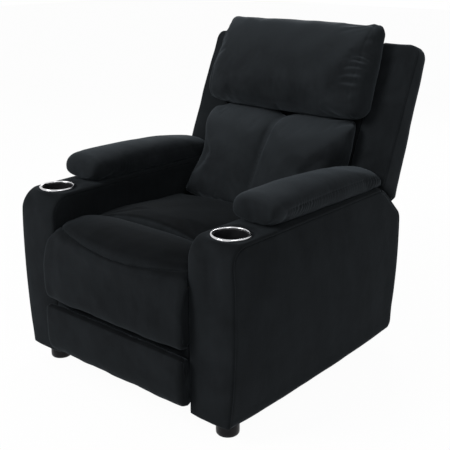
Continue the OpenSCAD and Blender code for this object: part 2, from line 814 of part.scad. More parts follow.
// Angle behind both boards, with the pin of the coupler link
module footrest_frame(side) {
    back = board_t;
    color(steel) on_side(side) {
        translate([web_x + link_t - frame_flange_w, back, frame_low_z])
            cube([frame_flange_w, link_t, frame_top_z - frame_low_z]);
        along_x(web_x, link_t) polygon([[back, frame_low_z], [back + link_w / 2, frame_low_z],
            [back + frame_web_d, panel_pin_rest[1] - link_w],
            [back + frame_web_d, panel_pin_rest[1] + link_w],
            [back + link_w / 2, frame_top_z], [back, frame_top_z]]);
        stud(web_x + link_t - over, over + 2 * side_gap + link_t + head_t, panel_pin_rest[0],
            panel_pin_rest[1], true);
    }
}

// A flat link between two places in Y and Z, with a hole at each end
module link(x0, a, b, holes) {
    direction = atan2(b[1] - a[1], b[0] - a[0]);
    difference() {
        along_x(x0, link_t) {
            for (p = [a, b]) translate(p) circle(r = link_w / 2, $fn = facets);
            translate(a) rotate(direction) translate([0, -link_w / 2]) square([norm(b - a), link_w]);
        }
        for (p = holes) x_bar(x0 - over, link_t + 2 * over, pin_r + pin_fit, p[0], p[1]);
    }
}

// A link on each side that swings the footrest out, with the elbow's pin
module drive_links() {
    stud_in = side_gap + link_t + side_gap + head_t;
    color(steel) for (side = [-1, 1]) on_side(side) {
        link(link_a_x, drive_pivot, elbow_rest, [drive_pivot]);
        stud(link_a_x - stud_in, stud_in + over, elbow_rest[0], elbow_rest[1], false);
    }
}

// Tube that ties the two drive links together
module tie_tube() {
    tie = (drive_pivot + elbow_rest) / 2;
    color(steel) x_bar(-link_a_x, 2 * link_a_x, pin_d, tie[0], tie[1]);
}

// A link on each side from the elbow to the footrest
module coupler_links() {
    color(steel) for (side = [-1, 1]) on_side(side)
        link(link_b_x, elbow_rest, panel_pin_rest, [elbow_rest, panel_pin_rest]);
}

seated() arm_panel(1);  // arm_panel_left
seated() arm_panel(-1);  // arm_panel_right
seated() arm_top_board(1);  // arm_top_board_left
seated() arm_top_board(-1);  // arm_top_board_right
seated() arm_front_post(1);  // arm_front_post_left
seated() arm_front_post(-1);  // arm_front_post_right
seated() arm_rear_post(1);  // arm_rear_post_left
seated() arm_rear_post(-1);  // arm_rear_post_right
seated() arm_wrap(1);  // arm_wrap_left
seated() arm_wrap(-1);  // arm_wrap_right
seated() arm_inner_cover(1);  // arm_inner_cover_left
seated() arm_inner_cover(-1);  // arm_inner_cover_right
seated() arm_outer_cover(1);  // arm_outer_cover_left
seated() arm_outer_cover(-1);  // arm_outer_cover_right
seated() arm_pad(1);  // arm_pad_left
seated() arm_pad(-1);  // arm_pad_right
seated() cup_well(1);  // cup_well_left
seated() cup_well(-1);  // cup_well_right
seated() cup_ring(1);  // cup_ring_left
seated() cup_ring(-1);  // cup_ring_right
seated() feet();
seated() cross_tubes();
seated() base_rail(1);  // base_rail_left
seated() base_rail(-1);  // base_rail_right
seated() rear_stanchion(1);  // rear_stanchion_left
seated() rear_stanchion(-1);  // rear_stanchion_right
seated() frame_bolts();
seated() seat_plate(1);  // seat_plate_left
seated() seat_plate(-1);  // seat_plate_right
seated() glide_blocks();
seated() seat_side_rail(1);  // seat_side_rail_left
seated() seat_side_rail(-1);  // seat_side_rail_right
seated() seat_cross_rail(front_rail_y, front_rail_d);  // seat_front_rail
seated() seat_cross_rail(rear_rail_y, rear_rail_d);  // seat_rear_rail
seated() seat_springs();
seated() seat_cushion();
seated() knee_roll();
seated() back_upright(1);  // back_upright_left
seated() back_upright(-1);  // back_upright_right
seated() back_top_rail();
seated() back_middle_rail();
seated() back_bottom_rail();
seated() back_webbing();
seated() back_foam();
seated() rear_panel();
seated() wing(1);  // wing_left
seated() wing(-1);  // wing_right
seated() lumbar_cushion();
seated() head_pillow();
seated() recline_bracket(1);  // recline_bracket_left
seated() recline_bracket(-1);  // recline_bracket_right
seated() upper_panel_board();
seated() upper_panel_pad();
seated() lower_panel_board();
seated() lower_panel_pad();
seated() footrest_frame(1);  // footrest_frame_left
seated() footrest_frame(-1);  // footrest_frame_right
seated() drive_links();
seated() tie_tube();
seated() coupler_links();
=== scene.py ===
import json
import math
import bpy
import bmesh
import numpy as np
from mathutils import Matrix, Vector


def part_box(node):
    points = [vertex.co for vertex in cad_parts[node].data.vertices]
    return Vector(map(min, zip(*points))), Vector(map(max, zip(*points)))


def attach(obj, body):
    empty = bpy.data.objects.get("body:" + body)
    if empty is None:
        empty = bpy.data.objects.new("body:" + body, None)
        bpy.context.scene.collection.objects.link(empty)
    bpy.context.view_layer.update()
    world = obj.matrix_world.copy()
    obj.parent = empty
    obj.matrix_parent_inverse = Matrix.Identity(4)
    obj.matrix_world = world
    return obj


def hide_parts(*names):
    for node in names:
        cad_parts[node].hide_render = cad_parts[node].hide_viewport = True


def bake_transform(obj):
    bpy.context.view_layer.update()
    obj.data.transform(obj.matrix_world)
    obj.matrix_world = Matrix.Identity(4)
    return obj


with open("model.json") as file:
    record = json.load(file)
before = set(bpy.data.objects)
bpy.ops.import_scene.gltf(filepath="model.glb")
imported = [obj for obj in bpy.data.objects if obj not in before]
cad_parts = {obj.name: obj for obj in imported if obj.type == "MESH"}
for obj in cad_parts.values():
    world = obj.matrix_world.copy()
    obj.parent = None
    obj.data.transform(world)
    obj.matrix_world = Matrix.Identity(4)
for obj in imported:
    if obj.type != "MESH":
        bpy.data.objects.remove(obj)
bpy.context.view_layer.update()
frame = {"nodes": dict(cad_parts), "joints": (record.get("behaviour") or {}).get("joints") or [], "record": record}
scene = bpy.context.scene
print("frame loaded")

# Lengths are in millimetres and y is measured back from the front of the arms;
# toFrame turns points into the frame's metres
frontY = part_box("arm_outer_cover_left")[0].y
mm = 0.001
sides = ("left", "right")


def toFrame(points):
    moved = np.array(points, float) * mm
    moved[:, 1] += frontY
    return moved


def nodeBox(name):
    low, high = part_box(name)
    shift = Vector((0, frontY, 0))
    return (low - shift) / mm, (high - shift) / mm


def jointPlace(name):
    return Vector(next(joint for joint in frame["joints"] if joint["name"] == name)["pos_m"])


# Mesh helpers
meshSet = {"endShares": (0.72, 0.42, 0.14), "splineSteps": 24, "waves": 7, "waveSpread": (0.6, 1.4)}


def addMesh(name, points, faces):
    mesh = bpy.data.meshes.new(name)
    mesh.from_pydata([tuple(p) for p in toFrame(points)], [], faces)
    mesh.update()
    piece = bpy.data.objects.new(name, mesh)
    scene.collection.objects.link(piece)
    return piece


def editMesh(piece, work):
    build = bmesh.new()
    build.from_mesh(piece.data)
    work(build)
    build.to_mesh(piece.data)
    build.free()


def smooth(piece):
    piece.data.polygons.foreach_set("use_smooth", [True] * len(piece.data.polygons))
    piece.data.update()


def fixNormals(piece):
    editMesh(piece, lambda build: bmesh.ops.recalc_face_normals(build, faces=build.faces))
    smooth(piece)


def gridFaces(rows, cols, around=False):
    faces = []
    for i in range(rows - 1):
        for k in range(cols if around else cols - 1):
            n = (k + 1) % cols
            faces.append((i * cols + k, i * cols + n, (i + 1) * cols + n, (i + 1) * cols + k))
    return faces


def closedLoft(name, rings, cores=None):  # a closed skin over rings of points, drawn in at both ends
    rings = np.array(rings, float)
    ends = []
    for place in (0, -1):
        ring = rings[place]
        middle = ring.mean(0) if cores is None else cores[place]
        ends.append([middle + (ring - middle) * share for share in meshSet["endShares"]])
    rings = np.concatenate([np.array(ends[0])[::-1], rings, np.array(ends[1])])
    rows, cols = rings.shape[:2]
    faces = gridFaces(rows, cols, around=True)
    faces.append(tuple(range(cols))[::-1])
    faces.append(tuple((rows - 1) * cols + k for k in range(cols)))
    piece = addMesh(name, rings.reshape(-1, 3), faces)
    fixNormals(piece)
    return piece


def bake(piece):  # applies every modifier on the piece
    bpy.context.view_layer.update()
    ready = piece.evaluated_get(bpy.context.evaluated_depsgraph_get())
    mesh = bpy.data.meshes.new_from_object(ready)
    old = piece.data
    piece.modifiers.clear()
    piece.data = mesh
    mesh.name = piece.name
    bpy.data.meshes.remove(old)
    smooth(piece)


def subdivide(piece):
    piece.modifiers.new("finer", "SUBSURF").levels = 1
    bake(piece)


def join(name, pieces):
    build = bmesh.new()
    for piece in pieces:
        build.from_mesh(piece.data)
    mesh = bpy.data.meshes.new(name)
    build.to_mesh(mesh)
    build.free()
    for piece in pieces:
        bpy.data.objects.remove(piece)
    whole = bpy.data.objects.new(name, mesh)
    scene.collection.objects.link(whole)
    smooth(whole)
    return whole


def mirror(piece):  # a piece is made as the left one and mirrored for the right
    piece.data.transform(Matrix.Scale(-1, 4, (1, 0, 0)))
    piece.data.flip_normals()


def readMesh(mesh, what):
    flat = np.zeros(len(mesh.vertices) * 3)
    mesh.vertices.foreach_get(what, flat)
    return flat.reshape(-1, 3)


def readPoints(piece):
    points = readMesh(piece.data, "co")
    points[:, 1] -= frontY
    return points / mm


def readNormals(piece):
    return readMesh(piece.data, "normal")


def writePoints(piece, points):
    piece.data.vertices.foreach_set("co", toFrame(points).reshape(-1))
    piece.data.update()


def ripple(points, length, seed):  # smooth random waves of about that length, within -1 and 1
    draw = np.random.default_rng(seed)
    total = np.zeros(len(points))
    for _ in range(meshSet["waves"]):
        way = draw.normal(size=3)
        way *= 2 * math.pi / length / np.linalg.norm(way) * draw.uniform(*meshSet["waveSpread"])
        total += np.sin(points @ way + draw.uniform(0, 2 * math.pi))
    return total / (meshSet["waves"] / 2)


def folds(points, seed, waves):  # waves of several lengths and heights
    return sum(ripple(points, length, seed + k) * height for k, (length, height) in enumerate(waves))


def ruffle(piece, depth, length, seed):
    points = readPoints(piece)
    writePoints(piece, points + readNormals(piece) * (ripple(points, length, seed) * depth)[:, None])


def smoothStep(value, low, high):
    t = np.clip((np.asarray(value, float) - low) / (high - low), 0, 1)
    return t * t * (3 - 2 * t)


def roundOff(radius, past):  # how far a rounded corner has drawn in, that far past the start of its arc
    return radius - np.sqrt(np.maximum(0, radius ** 2 - past ** 2))


def lengthsAlong(points):
    return np.concatenate([[0], np.cumsum(np.linalg.norm(np.diff(points, axis=0), axis=1))])


def placesAlong(points, along, where):
    return np.stack([np.interp(where, along, points[:, k]) for k in range(points.shape[1])], 1)


def pathNormals(path):
    way = np.gradient(path, axis=0)
    way /= np.maximum(np.linalg.norm(way, axis=1, keepdims=True), 1e-9)
    return np.stack([way[:, 1], -way[:, 0]], 1)


def spline(points, count):  # even points along a smooth curve through a few
    points = np.array(points, float)
    padded = np.vstack([2 * points[0] - points[1], points, 2 * points[-1] - points[-2]])
    steps = meshSet["splineSteps"]
    dense = []
    for i in range(len(padded) - 3):
        a, b, c, d = padded[i:i + 4]
        for k in range(steps):
            t = k / steps
            dense.append(0.5 * (2 * b + (c - a) * t + (2 * a - 5 * b + 4 * c - d) * t ** 2
                                + (3 * b - a - 3 * c + d) * t ** 3))
    dense.append(padded[-2])
    dense = np.array(dense)
    along = lengthsAlong(dense)
    return placesAlong(dense, along, np.linspace(0, along[-1], count))


def squared(value, power):
    return np.sign(value) * np.abs(value) ** (2 / power)


def roundedSection(corners, power, count):  # a rounded four-cornered ring, from the low front corner round
    corners = np.array(corners, float)
    angle = -2 * math.pi * np.arange(count) / count
    p = ((1 + squared(np.cos(angle), power)) / 2)[:, None]
    q = ((1 + squared(np.sin(angle), power)) / 2)[:, None]
    low = corners[0] + (corners[1] - corners[0]) * p
    high = corners[3] + (corners[2] - corners[3]) * p
    return low + (high - low) * q


def stations(count):  # places from -1 to 1, closer together near the ends
    return np.sin(np.pi / 2 * np.linspace(-1, 1, count))


# The back's own axes: x across, t to the rear, s up along the back from the recline pivot
backSet = {"lean": 17.5}
pivot = jointPlace("recline")
leanTurn = np.array(Matrix.Rotation(math.radians(-backSet["lean"]), 3, "X"))
pivotMm = np.array([0, pivot.y - frontY, pivot.z]) / mm


def onBack(points):
    points = np.array(points, float)
    return (points.reshape(-1, 3) @ leanTurn.T + pivotMm).reshape(points.shape)


def inBack(points):
    return (points - pivotMm) @ leanTurn


def leaningBox(name):  # lowest and highest corner of a node in the back's own axes
    own = inBack(readPoints(frame["nodes"][name]))
    return own.min(0), own.max(0)


def backLoft(name, rings, cores=None):
    return closedLoft(name, onBack(rings), None if cores is None else onBack(cores))


# Cloth: the piece swells under pressure like a stuffed cover, and no point moves further than the cap
clothSet = {"frames": 20, "quality": 5, "mass": 0.3, "stretch": 12, "shear": 5, "bend": 0.4, "calm": 0.5}


def plump(piece, voxel, pressure, cap, calm, held):
    c = clothSet
    remesh = piece.modifiers.new("even", "REMESH")
    remesh.mode = "VOXEL"
    remesh.voxel_size = voxel * mm
    bake(piece)
    start = readPoints(piece)
    cloth = piece.modifiers.new("stuffing", "CLOTH")
    how = cloth.settings
    how.use_pressure = True
    how.uniform_pressure_force = pressure
    how.effector_weights.gravity = 0
    how.quality = c["quality"]
    how.mass = c["mass"]
    how.tension_stiffness = c["stretch"]
    how.compression_stiffness = c["stretch"]
    how.shear_stiffness = c["shear"]
    how.bending_stiffness = c["bend"]
    group = piece.vertex_groups.new(name="held")
    for index in np.nonzero(held(start))[0]:
        group.add([int(index)], 1.0, "REPLACE")
    how.vertex_group_mass = "held"
    cloth.point_cache.frame_start = 1
    cloth.point_cache.frame_end = c["frames"]
    for number in range(1, c["frames"] + 1):
        scene.frame_set(number)
    ready = piece.evaluated_get(bpy.context.evaluated_depsgraph_get())
    move = readPoints(ready) - start
    far = np.linalg.norm(move, axis=1, keepdims=True)
    move *= np.minimum(1, cap / np.maximum(far, 1e-6))
    piece.modifiers.clear()
    piece.vertex_groups.clear()
    writePoints(piece, start + move)
    scene.frame_set(1)
    even = piece.modifiers.new("calm", "SMOOTH")
    even.factor = c["calm"]
    even.iterations = calm
    bake(piece)
    subdivide(piece)


def finishPiece(piece, body, material, nodes):
    piece.data.materials.clear()
    piece.data.materials.append(material)
    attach(piece, body)
    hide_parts(*nodes)


# Materials: a Link is a socket that works in sums
class Link:
    def __init__(self, tree, socket):
        self.tree = tree
        self.socket = socket

    def math(self, operation, other, swap=False):
        values = {0: other, 1: self} if swap else {0: self, 1: other}
        return newNode(self.tree, "ShaderNodeMath", {"operation": operation}, values)

    def __add__(self, other):
        return self.math("ADD", other)

    def __radd__(self, other):
        return self.math("ADD", other, swap=True)

    def __rsub__(self, other):
        return self.math("SUBTRACT", other, swap=True)

    def __mul__(self, other):
        return self.math("MULTIPLY", other)

    def __rmul__(self, other):
        return self.math("MULTIPLY", other, swap=True)


def newNode(tree, kind, settings=None, inputs=None, output=0):
    made = tree.nodes.new(kind)
    for key, value in (settings or {}).items():
        setattr(made, key, value)
    for key, value in (inputs or {}).items():
        if isinstance(value, Link):
            tree.links.new(value.socket, made.inputs[key])
        else:
            made.inputs[key].default_value = value
    return Link(tree, made.outputs[output])


class Finish:  # one material and its nodes
    def __init__(self, name, roughness, **constants):
        self.material = bpy.data.materials.new(name)
        self.material.use_nodes = True
        self.tree = self.material.node_tree
        self.shader = self.tree.nodes["Principled BSDF"]
        self.shader.inputs["Roughness"].default_value = roughness
        for socket, value in constants.items():
            self.shader.inputs[socket.replace("_", " ")].default_value = value
        self.places = self.node("ShaderNodeTexCoord", output="Object")

    def node(self, kind, settings=None, inputs=None, output=0):
        return newNode(self.tree, kind, settings, inputs, output)

    def noise(self, scale, detail=2.0, roughness=0.5, places=None, distortion=0.0):
        return self.node("ShaderNodeTexNoise", inputs={
            "Vector": places or self.places, "Scale": scale, "Detail": detail,
            "Roughness": roughness, "Distortion": distortion})

    def bands(self, direction, scale, distortion=0.0, detail=2.0):
        return self.node("ShaderNodeTexWave", {"wave_type": "BANDS", "bands_direction": direction}, {
            "Vector": self.places, "Scale": scale, "Distortion": distortion, "Detail": detail}, output=1)

    def between(self, value, low, high, kind="LINEAR"):
        return self.node("ShaderNodeMapRange", {"interpolation_type": kind},
                         {"Value": value, "From Min": low, "From Max": high})

    def stretched(self, x, y, z):
        return self.node("ShaderNodeVectorMath", {"operation": "MULTIPLY"}, {0: self.places, 1: (x, y, z)})

    def blendOf(self, share, first, second):
        return self.node("ShaderNodeMix", {"data_type": "RGBA"},
                         {0: share, 6: rgb(first), 7: rgb(second)}, output=2)

    def feed(self, socket, value):
        self.tree.links.new(value.socket, self.shader.inputs[socket])

    def bump(self, height, distance, strength=1.0, under=None):
        inputs = {"Height": height, "Distance": distance, "Strength": strength}
        if under:
            inputs["Normal"] = under
        return self.node("ShaderNodeBump", inputs=inputs)


def rgb(colour):
    return colour if isinstance(colour, Link) else (*colour, 1)


def deeper(colour, share):
    return [c * share for c in colour]


# The range and ease of the painted shade on upward faces are set here with the velvet's own colours
velvetSet = {
    "deep": (0.0055, 0.0064, 0.0072), "worn": (0.0100, 0.0116, 0.0130),
    "sheen": 0.07, "sheenRoughness": 0.45, "sheenTint": (0.72, 0.84, 0.95), "gloss": 0.03,
    "napSize": 9, "streaks": (60, 60, 14), "napShare": 0.7, "napRange": (0.36, 0.66),
    "topShadeRange": (0.35, 0.95), "topShadeEase": 0.3, "roughness": 0.80, "roughnessRange": 0.12,
    "pileSize": 950, "pileDepth": 0.00022, "softSize": 38, "softDepth": 0.0011,
}


# The second argument scales the colour to paint a part lighter or darker for its light; the third is the share of
# that colour left as painted shade where the cloth faces up
def makeVelvet(name="velvet", dark=1.0, topShadeShare=0.45, sheen=1.0):
    v = velvetSet
    finish = Finish(name, 0.88, Sheen_Weight=v["sheen"] * sheen, Sheen_Roughness=v["sheenRoughness"],
                    Sheen_Tint=rgb(v["sheenTint"]), Specular_IOR_Level=v["gloss"])
    nap = finish.noise(v["napSize"], 3.0, 0.55, distortion=0.6)
    streak = finish.noise(1.0, 3.0, 0.6, places=finish.stretched(*v["streaks"]))
    share = finish.between(nap * v["napShare"] + streak * (1 - v["napShare"]), *v["napRange"])
    # Painted shade: the colour is darker where the cloth faces up, for how light falls on the pile of the tops
    faces = finish.node("ShaderNodeTexCoord", output="Normal")
    upward = finish.node("ShaderNodeSeparateXYZ", inputs={0: faces}, output="Z")
    topShade = finish.between(upward, *v["topShadeRange"], kind="SMOOTHSTEP")
    unshadedColour = finish.blendOf(share, deeper(v["deep"], dark), deeper(v["worn"], dark))
    finish.feed("Base Color", finish.blendOf(topShade * (1 - share * v["topShadeEase"]), unshadedColour,
                                             deeper(v["worn"], dark * topShadeShare)))
    finish.feed("Roughness", v["roughness"] + share * v["roughnessRange"])
    soft = finish.bump(finish.noise(v["softSize"]), v["softDepth"], 0.6)
    finish.feed("Normal", finish.bump(finish.noise(v["pileSize"], 2.0, 0.6), v["pileDepth"], 0.7, soft))
    return finish.material


timberSet = {"light": (0.62, 0.46, 0.28), "dark": (0.44, 0.29, 0.15), "rings": 7, "along": (2, 2, 14),
             "grain": 9, "ringShare": 0.7, "range": (0.35, 0.68), "grainDepth": 0.0004}


def makeTimber():
    w = timberSet
    finish = Finish("timber", 0.6, Specular_IOR_Level=0.35)
    places = finish.stretched(*w["along"])
    wavy = finish.noise(w["rings"], 3.0, 0.55, places=places, distortion=1.2)
    grain = finish.noise(w["rings"] * w["grain"], 2.0, 0.6, places=places)
    share = finish.between(wavy * w["ringShare"] + grain * (1 - w["ringShare"]), *w["range"])
    finish.feed("Base Color", finish.blendOf(share, w["light"], w["dark"]))
    finish.feed("Roughness", 0.5 + share * 0.25)
    finish.feed("Normal", finish.bump(grain, w["grainDepth"], 0.5))
    return finish.material


plywoodSet = {"light": (0.56, 0.40, 0.23), "dark": (0.33, 0.205, 0.10), "figure": 5, "along": (1, 1, 7),
              "plies": 130.0, "figureShare": 0.72, "range": (0.3, 0.75), "figureDepth": 0.0005}


def makePlywood():
    w = plywoodSet
    finish = Finish("plywood", 0.62, Specular_IOR_Level=0.3)
    face = finish.noise(w["figure"], 3.0, 0.55, places=finish.stretched(*w["along"]), distortion=0.8)
    plies = finish.bands("X", w["plies"], 0.4, 1.0)
    share = finish.between(face * w["figureShare"] + plies * (1 - w["figureShare"]), *w["range"])
    finish.feed("Base Color", finish.blendOf(share, w["light"], w["dark"]))
    finish.feed("Roughness", 0.55 + share * 0.2)
    finish.feed("Normal", finish.bump(face, w["figureDepth"], 0.4))
    return finish.material


paintSet = {"paint": (0.022, 0.022, 0.024), "rubbed": (0.05, 0.05, 0.052), "peel": 420, "rub": 26,
            "rubRange": (0.5, 0.74), "peelDepth": 0.0002}


def makePaintedSteel():
    s = paintSet
    finish = Finish("frameSteel", 0.4, Specular_IOR_Level=0.5)
    peel = finish.noise(s["peel"])
    rub = finish.between(finish.noise(s["rub"], 4.0, 0.65), *s["rubRange"])
    finish.feed("Base Color", finish.blendOf(rub, s["paint"], s["rubbed"]))
    finish.feed("Roughness", 0.32 + rub * 0.22 + peel * 0.06)
    finish.feed("Normal", finish.bump(peel, s["peelDepth"], 0.5))
    return finish.material


steelSet = {"lines": (700, 700, 40), "smudge": 30, "smudged": 0.86, "lineDepth": 0.00003}


def makeBrightSteel(name, colour, roughness, scratch):
    s = steelSet
    finish = Finish(name, roughness, Metallic=1.0)
    lines = finish.noise(1.0, 3.0, 0.6, places=finish.stretched(*s["lines"]))
    smudge = finish.noise(s["smudge"], 3.0, 0.6)
    finish.feed("Base Color", finish.blendOf(smudge, colour, deeper(colour, s["smudged"])))
    finish.feed("Roughness", roughness + lines * scratch + smudge * scratch)
    finish.feed("Normal", finish.bump(lines, s["lineDepth"], 0.3))
    return finish.material


plasticSet = {"scuff": 45, "scuffRange": (0.48, 0.8), "scuffShare": 1.5, "scuffLift": 0.003}


def makePlastic(name, colour, roughness, grain, depth, specular=0.5):
    s = plasticSet
    finish = Finish(name, roughness, Specular_IOR_Level=specular)
    fine = finish.noise(grain)
    scuff = finish.between(finish.noise(s["scuff"], 4.0, 0.7), *s["scuffRange"])
    worn = [c * s["scuffShare"] + s["scuffLift"] for c in colour]
    finish.feed("Base Color", finish.blendOf(scuff, colour, worn))
    finish.feed("Roughness", roughness + scuff * 0.15 + fine * 0.05)
    finish.feed("Normal", finish.bump(fine, depth, 0.5))
    return finish.material


webbingSet = {"dark": (0.012, 0.012, 0.013), "light": (0.05, 0.05, 0.052), "warp": 240.0, "weft": 160.0,
              "depth": 0.0006}


def makeWebbing():
    s = webbingSet
    finish = Finish("webbing", 0.8, Specular_IOR_Level=0.3)
    weave = finish.bands("X", s["warp"]) * 0.5 + finish.bands("Z", s["weft"]) * 0.5
    finish.feed("Base Color", finish.blendOf(weave, s["dark"], s["light"]))
    finish.feed("Roughness", 0.7 + weave * 0.2)
    finish.feed("Normal", finish.bump(weave, s["depth"], 0.8))
    return finish.material


materials = {
    "velvet": makeVelvet(),
    "webbing": makeWebbing(),
    "plywood": makePlywood(),
    "timber": makeTimber(),
    "frame_steel": makePaintedSteel(),
    "spring_steel": makeBrightSteel("springSteel", (0.42, 0.42, 0.43), 0.34, 0.16),
    "nylon": makePlastic("nylon", (0.74, 0.73, 0.69), 0.42, 300, 0.0001),
    "cup_plastic": makePlastic("cupPlastic", (0.007, 0.007, 0.008), 0.4, 900, 0.00006, specular=0.2),
    "chrome_trim": makeBrightSteel("chromeTrim", (0.66, 0.66, 0.68), 0.10, 0.05),
    "foot_plastic": makePlastic("footPlastic", (0.006, 0.006, 0.007), 0.3, 500, 0.00004, specular=0.12),
}
velvet = materials["velvet"]
# Lit and shaded copies of the same velvet: each part has a scale on its colour that paints it lighter or darker
# for how light falls on it, the share of that colour left as painted shade where the cloth faces up, and its sheen
paintedLightSet = {"seat": (1.5, 0.12, 0.35), "front": (0.98, 0.30, 0.7), "pad": (1.35, 1.45, 1.3),
           "wing": (1.2, 1.0, 1.2), "back": (1.5, 1.8, 1.4)}
shadedVelvets = {part: makeVelvet(part + "Velvet", *values) for part, values in paintedLightSet.items()}
for part in frame["record"]["subparts"]:  # the CAD nodes that stay take the finish of their slot
    node = frame["nodes"][part["node"]]
    node.data.materials.clear()
    node.data.materials.append(materials[part["material_slot"]])
print("materials made")

# Arms: a band over the front and top, a flat side panel inside and outside, and a strip round the rear
armSet = {
    "rollRadius": 55, "slopeRun": 103, "slopeDrop": 96, "slopeRadii": (70, 42), "edgeRadius": 6,
    "crown": 4.5, "sideCrown": 2.0, "innerCrown": 1.2, "crownRun": 150, "panelOut": 0.6, "thickness": 6,
    "seamDepth": 1.3, "seamWidth": 2.5, "frontSwell": 2.0, "rearSwell": -2.5, "swellFrom": (60, 130),
    "swellTo": (440, 500), "hemRadius": 4, "hemTo": 100, "footRadius": 5, "rearFootRadius": 25, "footRun": 34,
    "hang": 3, "sag": 7, "step": 4.0, "holeIn": 3.0, "rimWidth": 3.2, "rimOut": 0.6, "ringFlat": (2, 26),
    "bandFolds": ((120, 0.8), (38, 0.25)), "panelFolds": ((150, 0.9), (45, 0.3)), "innerFolds": 0.4,
    # How far the outer side stands out of a flat one at each height: the stuffing swells it over the foot
    "flare": [(-5.5, 47), (-2.0, 90), (2.6, 145), (6.0, 200), (8.6, 265), (9.0, 330), (7.6, 400), (3.8, 465),
              (0, 505), (0, 525)],
}
armLow, armHigh = nodeBox("arm_outer_cover_left")
innerX = nodeBox("arm_inner_cover_left")[0].x
outerX = armHigh.x
cupLow, cupHigh = nodeBox("cup_well_left")
cupX = (cupLow.x + cupHigh.x) / 2
cupY = (cupLow.y + cupHigh.y) / 2
ringLow, ringHigh = nodeBox("cup_ring_left")
ringRadius = (ringHigh.x - ringLow.x) / 2
flareLine = spline(armSet["flare"], 120)


def roundedPath(points, radii, step):  # a line through points whose corners are arcs of the radii given
    points = np.array(points, float)
    dense = [points[0]]
    for i in range(1, len(points) - 1):
        before, here, after = points[i - 1:i + 2]
        radius = radii[i - 1]
        a = (before - here) / np.linalg.norm(before - here)
        b = (after - here) / np.linalg.norm(after - here)
        half = math.acos(np.clip(a @ b, -1, 1)) / 2
        reach = radius / math.tan(half)
        centre = here + (a + b) / np.linalg.norm(a + b) * radius / math.sin(half)
        first = here + a * reach
        last = here + b * reach
        count = max(4, int(radius * (math.pi - 2 * half) / step))
        for t in np.linspace(0, 1, count + 1):
            spoke = (first - centre) * (1 - t) + (last - centre) * t
            dense.append(centre + spoke / np.linalg.norm(spoke) * radius)
    dense.append(points[-1])
    dense = np.array(dense)
    along = lengthsAlong(dense)
    return placesAlong(dense, along, np.linspace(0, along[-1], int(along[-1] / step) + 1))


def armOutline(inset=0.0):  # side view in y and z, from the front foot over the top to the rear foot
    a = armSet
    top, rear, low = armHigh.z, armHigh.y, armLow.z - a["hang"]
    corners = [(0, low), (0, top), (rear - a["slopeRun"], top), (rear, top - a["slopeDrop"]), (rear, low),
               (rear - a["footRun"], low)]
    path = roundedPath(corners, [a["rollRadius"], *a["slopeRadii"], a["rearFootRadius"]], a["step"])
    return path + pathNormals(path) * inset


def bandProfile():  # the band's section across the arm: places across and heights over the outline
    a = armSet
    r = a["edgeRadius"]
    width = outerX - innerX
    turn = np.linspace(0, math.pi / 2, 7)
    edge = [(1.6, -r - a["seamDepth"]), (0.2, -r - 1.0)]
    edge += [(r - r * math.cos(t), -r + r * math.sin(t)) for t in turn]
    middle = [(x, 0) for x in np.linspace(r, width - r, 30)[1:-1]]
    section = np.array(edge + middle + [(width - x, h) for x, h in edge[::-1]])
    across = section[:, 0] / width * 2 - 1
    section[:, 1] += a["crown"] * np.maximum(0, 1 - across ** 4)
    section[:, 0] += innerX
    return section


def shell(name, grid, middle, keep=None):  # one open sheet that faces away from the middle
    rows, cols = grid.shape[:2]
    points = grid.reshape(-1, 3)
    faces = gridFaces(rows, cols)
    if keep is not None:
        faces = [f for f in faces if keep(points[list(f)].mean(0))]
    piece = addMesh(name, points, faces)
    centre = Vector(toFrame([middle])[0])

    def trim(build):
        bmesh.ops.delete(build, geom=[v for v in build.verts if not v.link_faces], context="VERTS")
        if sum(f.normal.dot(f.calc_center_median() - centre) for f in build.faces) < 0:
            bmesh.ops.reverse_faces(build, faces=build.faces)

    editMesh(piece, trim)
    return piece


def thicken(piece, thickness):
    solid = piece.modifiers.new("thickness", "SOLIDIFY")
    solid.thickness = thickness * mm
    solid.offset = -1
    bake(piece)


def turnIn(radius, rise):  # how far a cover has turned in, that far above its lower edge
    return roundOff(radius, radius - np.clip(rise, 0, radius))


def sideFoot(y):  # the lower edge of a side panel: it sags between the feet and turns up at the rear
    a = armSet
    radius = a["rearFootRadius"]
    turnUp = roundOff(radius, np.clip(y - (armHigh.y - radius), 0, radius))
    return armLow.z - a["hang"] - a["sag"] * np.sin(math.pi * np.clip(y / armHigh.y, 0, 1)) + turnUp


def flare(y, z):  # how far the outer side stands out of a flat one
    a = armSet
    ease = a["frontSwell"] + (a["rearSwell"] - a["frontSwell"]) * np.clip(y / armHigh.y, 0, 1)
    swell = ease * smoothStep(z, *a["swellFrom"]) * (1 - smoothStep(z, *a["swellTo"]))
    return np.interp(z, flareLine[:, 1], flareLine[:, 0]) + swell


def armBand(path, normals, seed):
    a = armSet
    section = bandProfile()
    share = (section[:, 0] - innerX) / (outerX - innerX)
    grid = np.zeros((len(path), len(section), 3))
    for i, (place, normal) in enumerate(zip(path, normals)):
        rise = place[1] - (armLow.z - a["hang"])
        lift = section[:, 1] - (turnIn(a["hemRadius"], rise) if place[0] < a["hemTo"] else 0)
        tuck = turnIn(a["footRadius"], rise)
        grid[i, :, 0] = section[:, 0] + tuck * (1 - share) + (flare(place[0], place[1]) - tuck) * share
        grid[i, :, 1] = place[0] + normal[0] * lift
        grid[i, :, 2] = place[1] + normal[1] * lift
    flat = grid.reshape(-1, 3)
    across = (flat[:, 0] - innerX) / (outerX - innerX) * 2 - 1
    wave = folds(flat, seed, a["bandFolds"]) * np.maximum(0, 1 - across ** 4)
    outwards = np.column_stack([np.zeros(len(path)), normals])
    flat += np.repeat(outwards, len(section), 0) * wave[:, None]
    return flat.reshape(grid.shape)


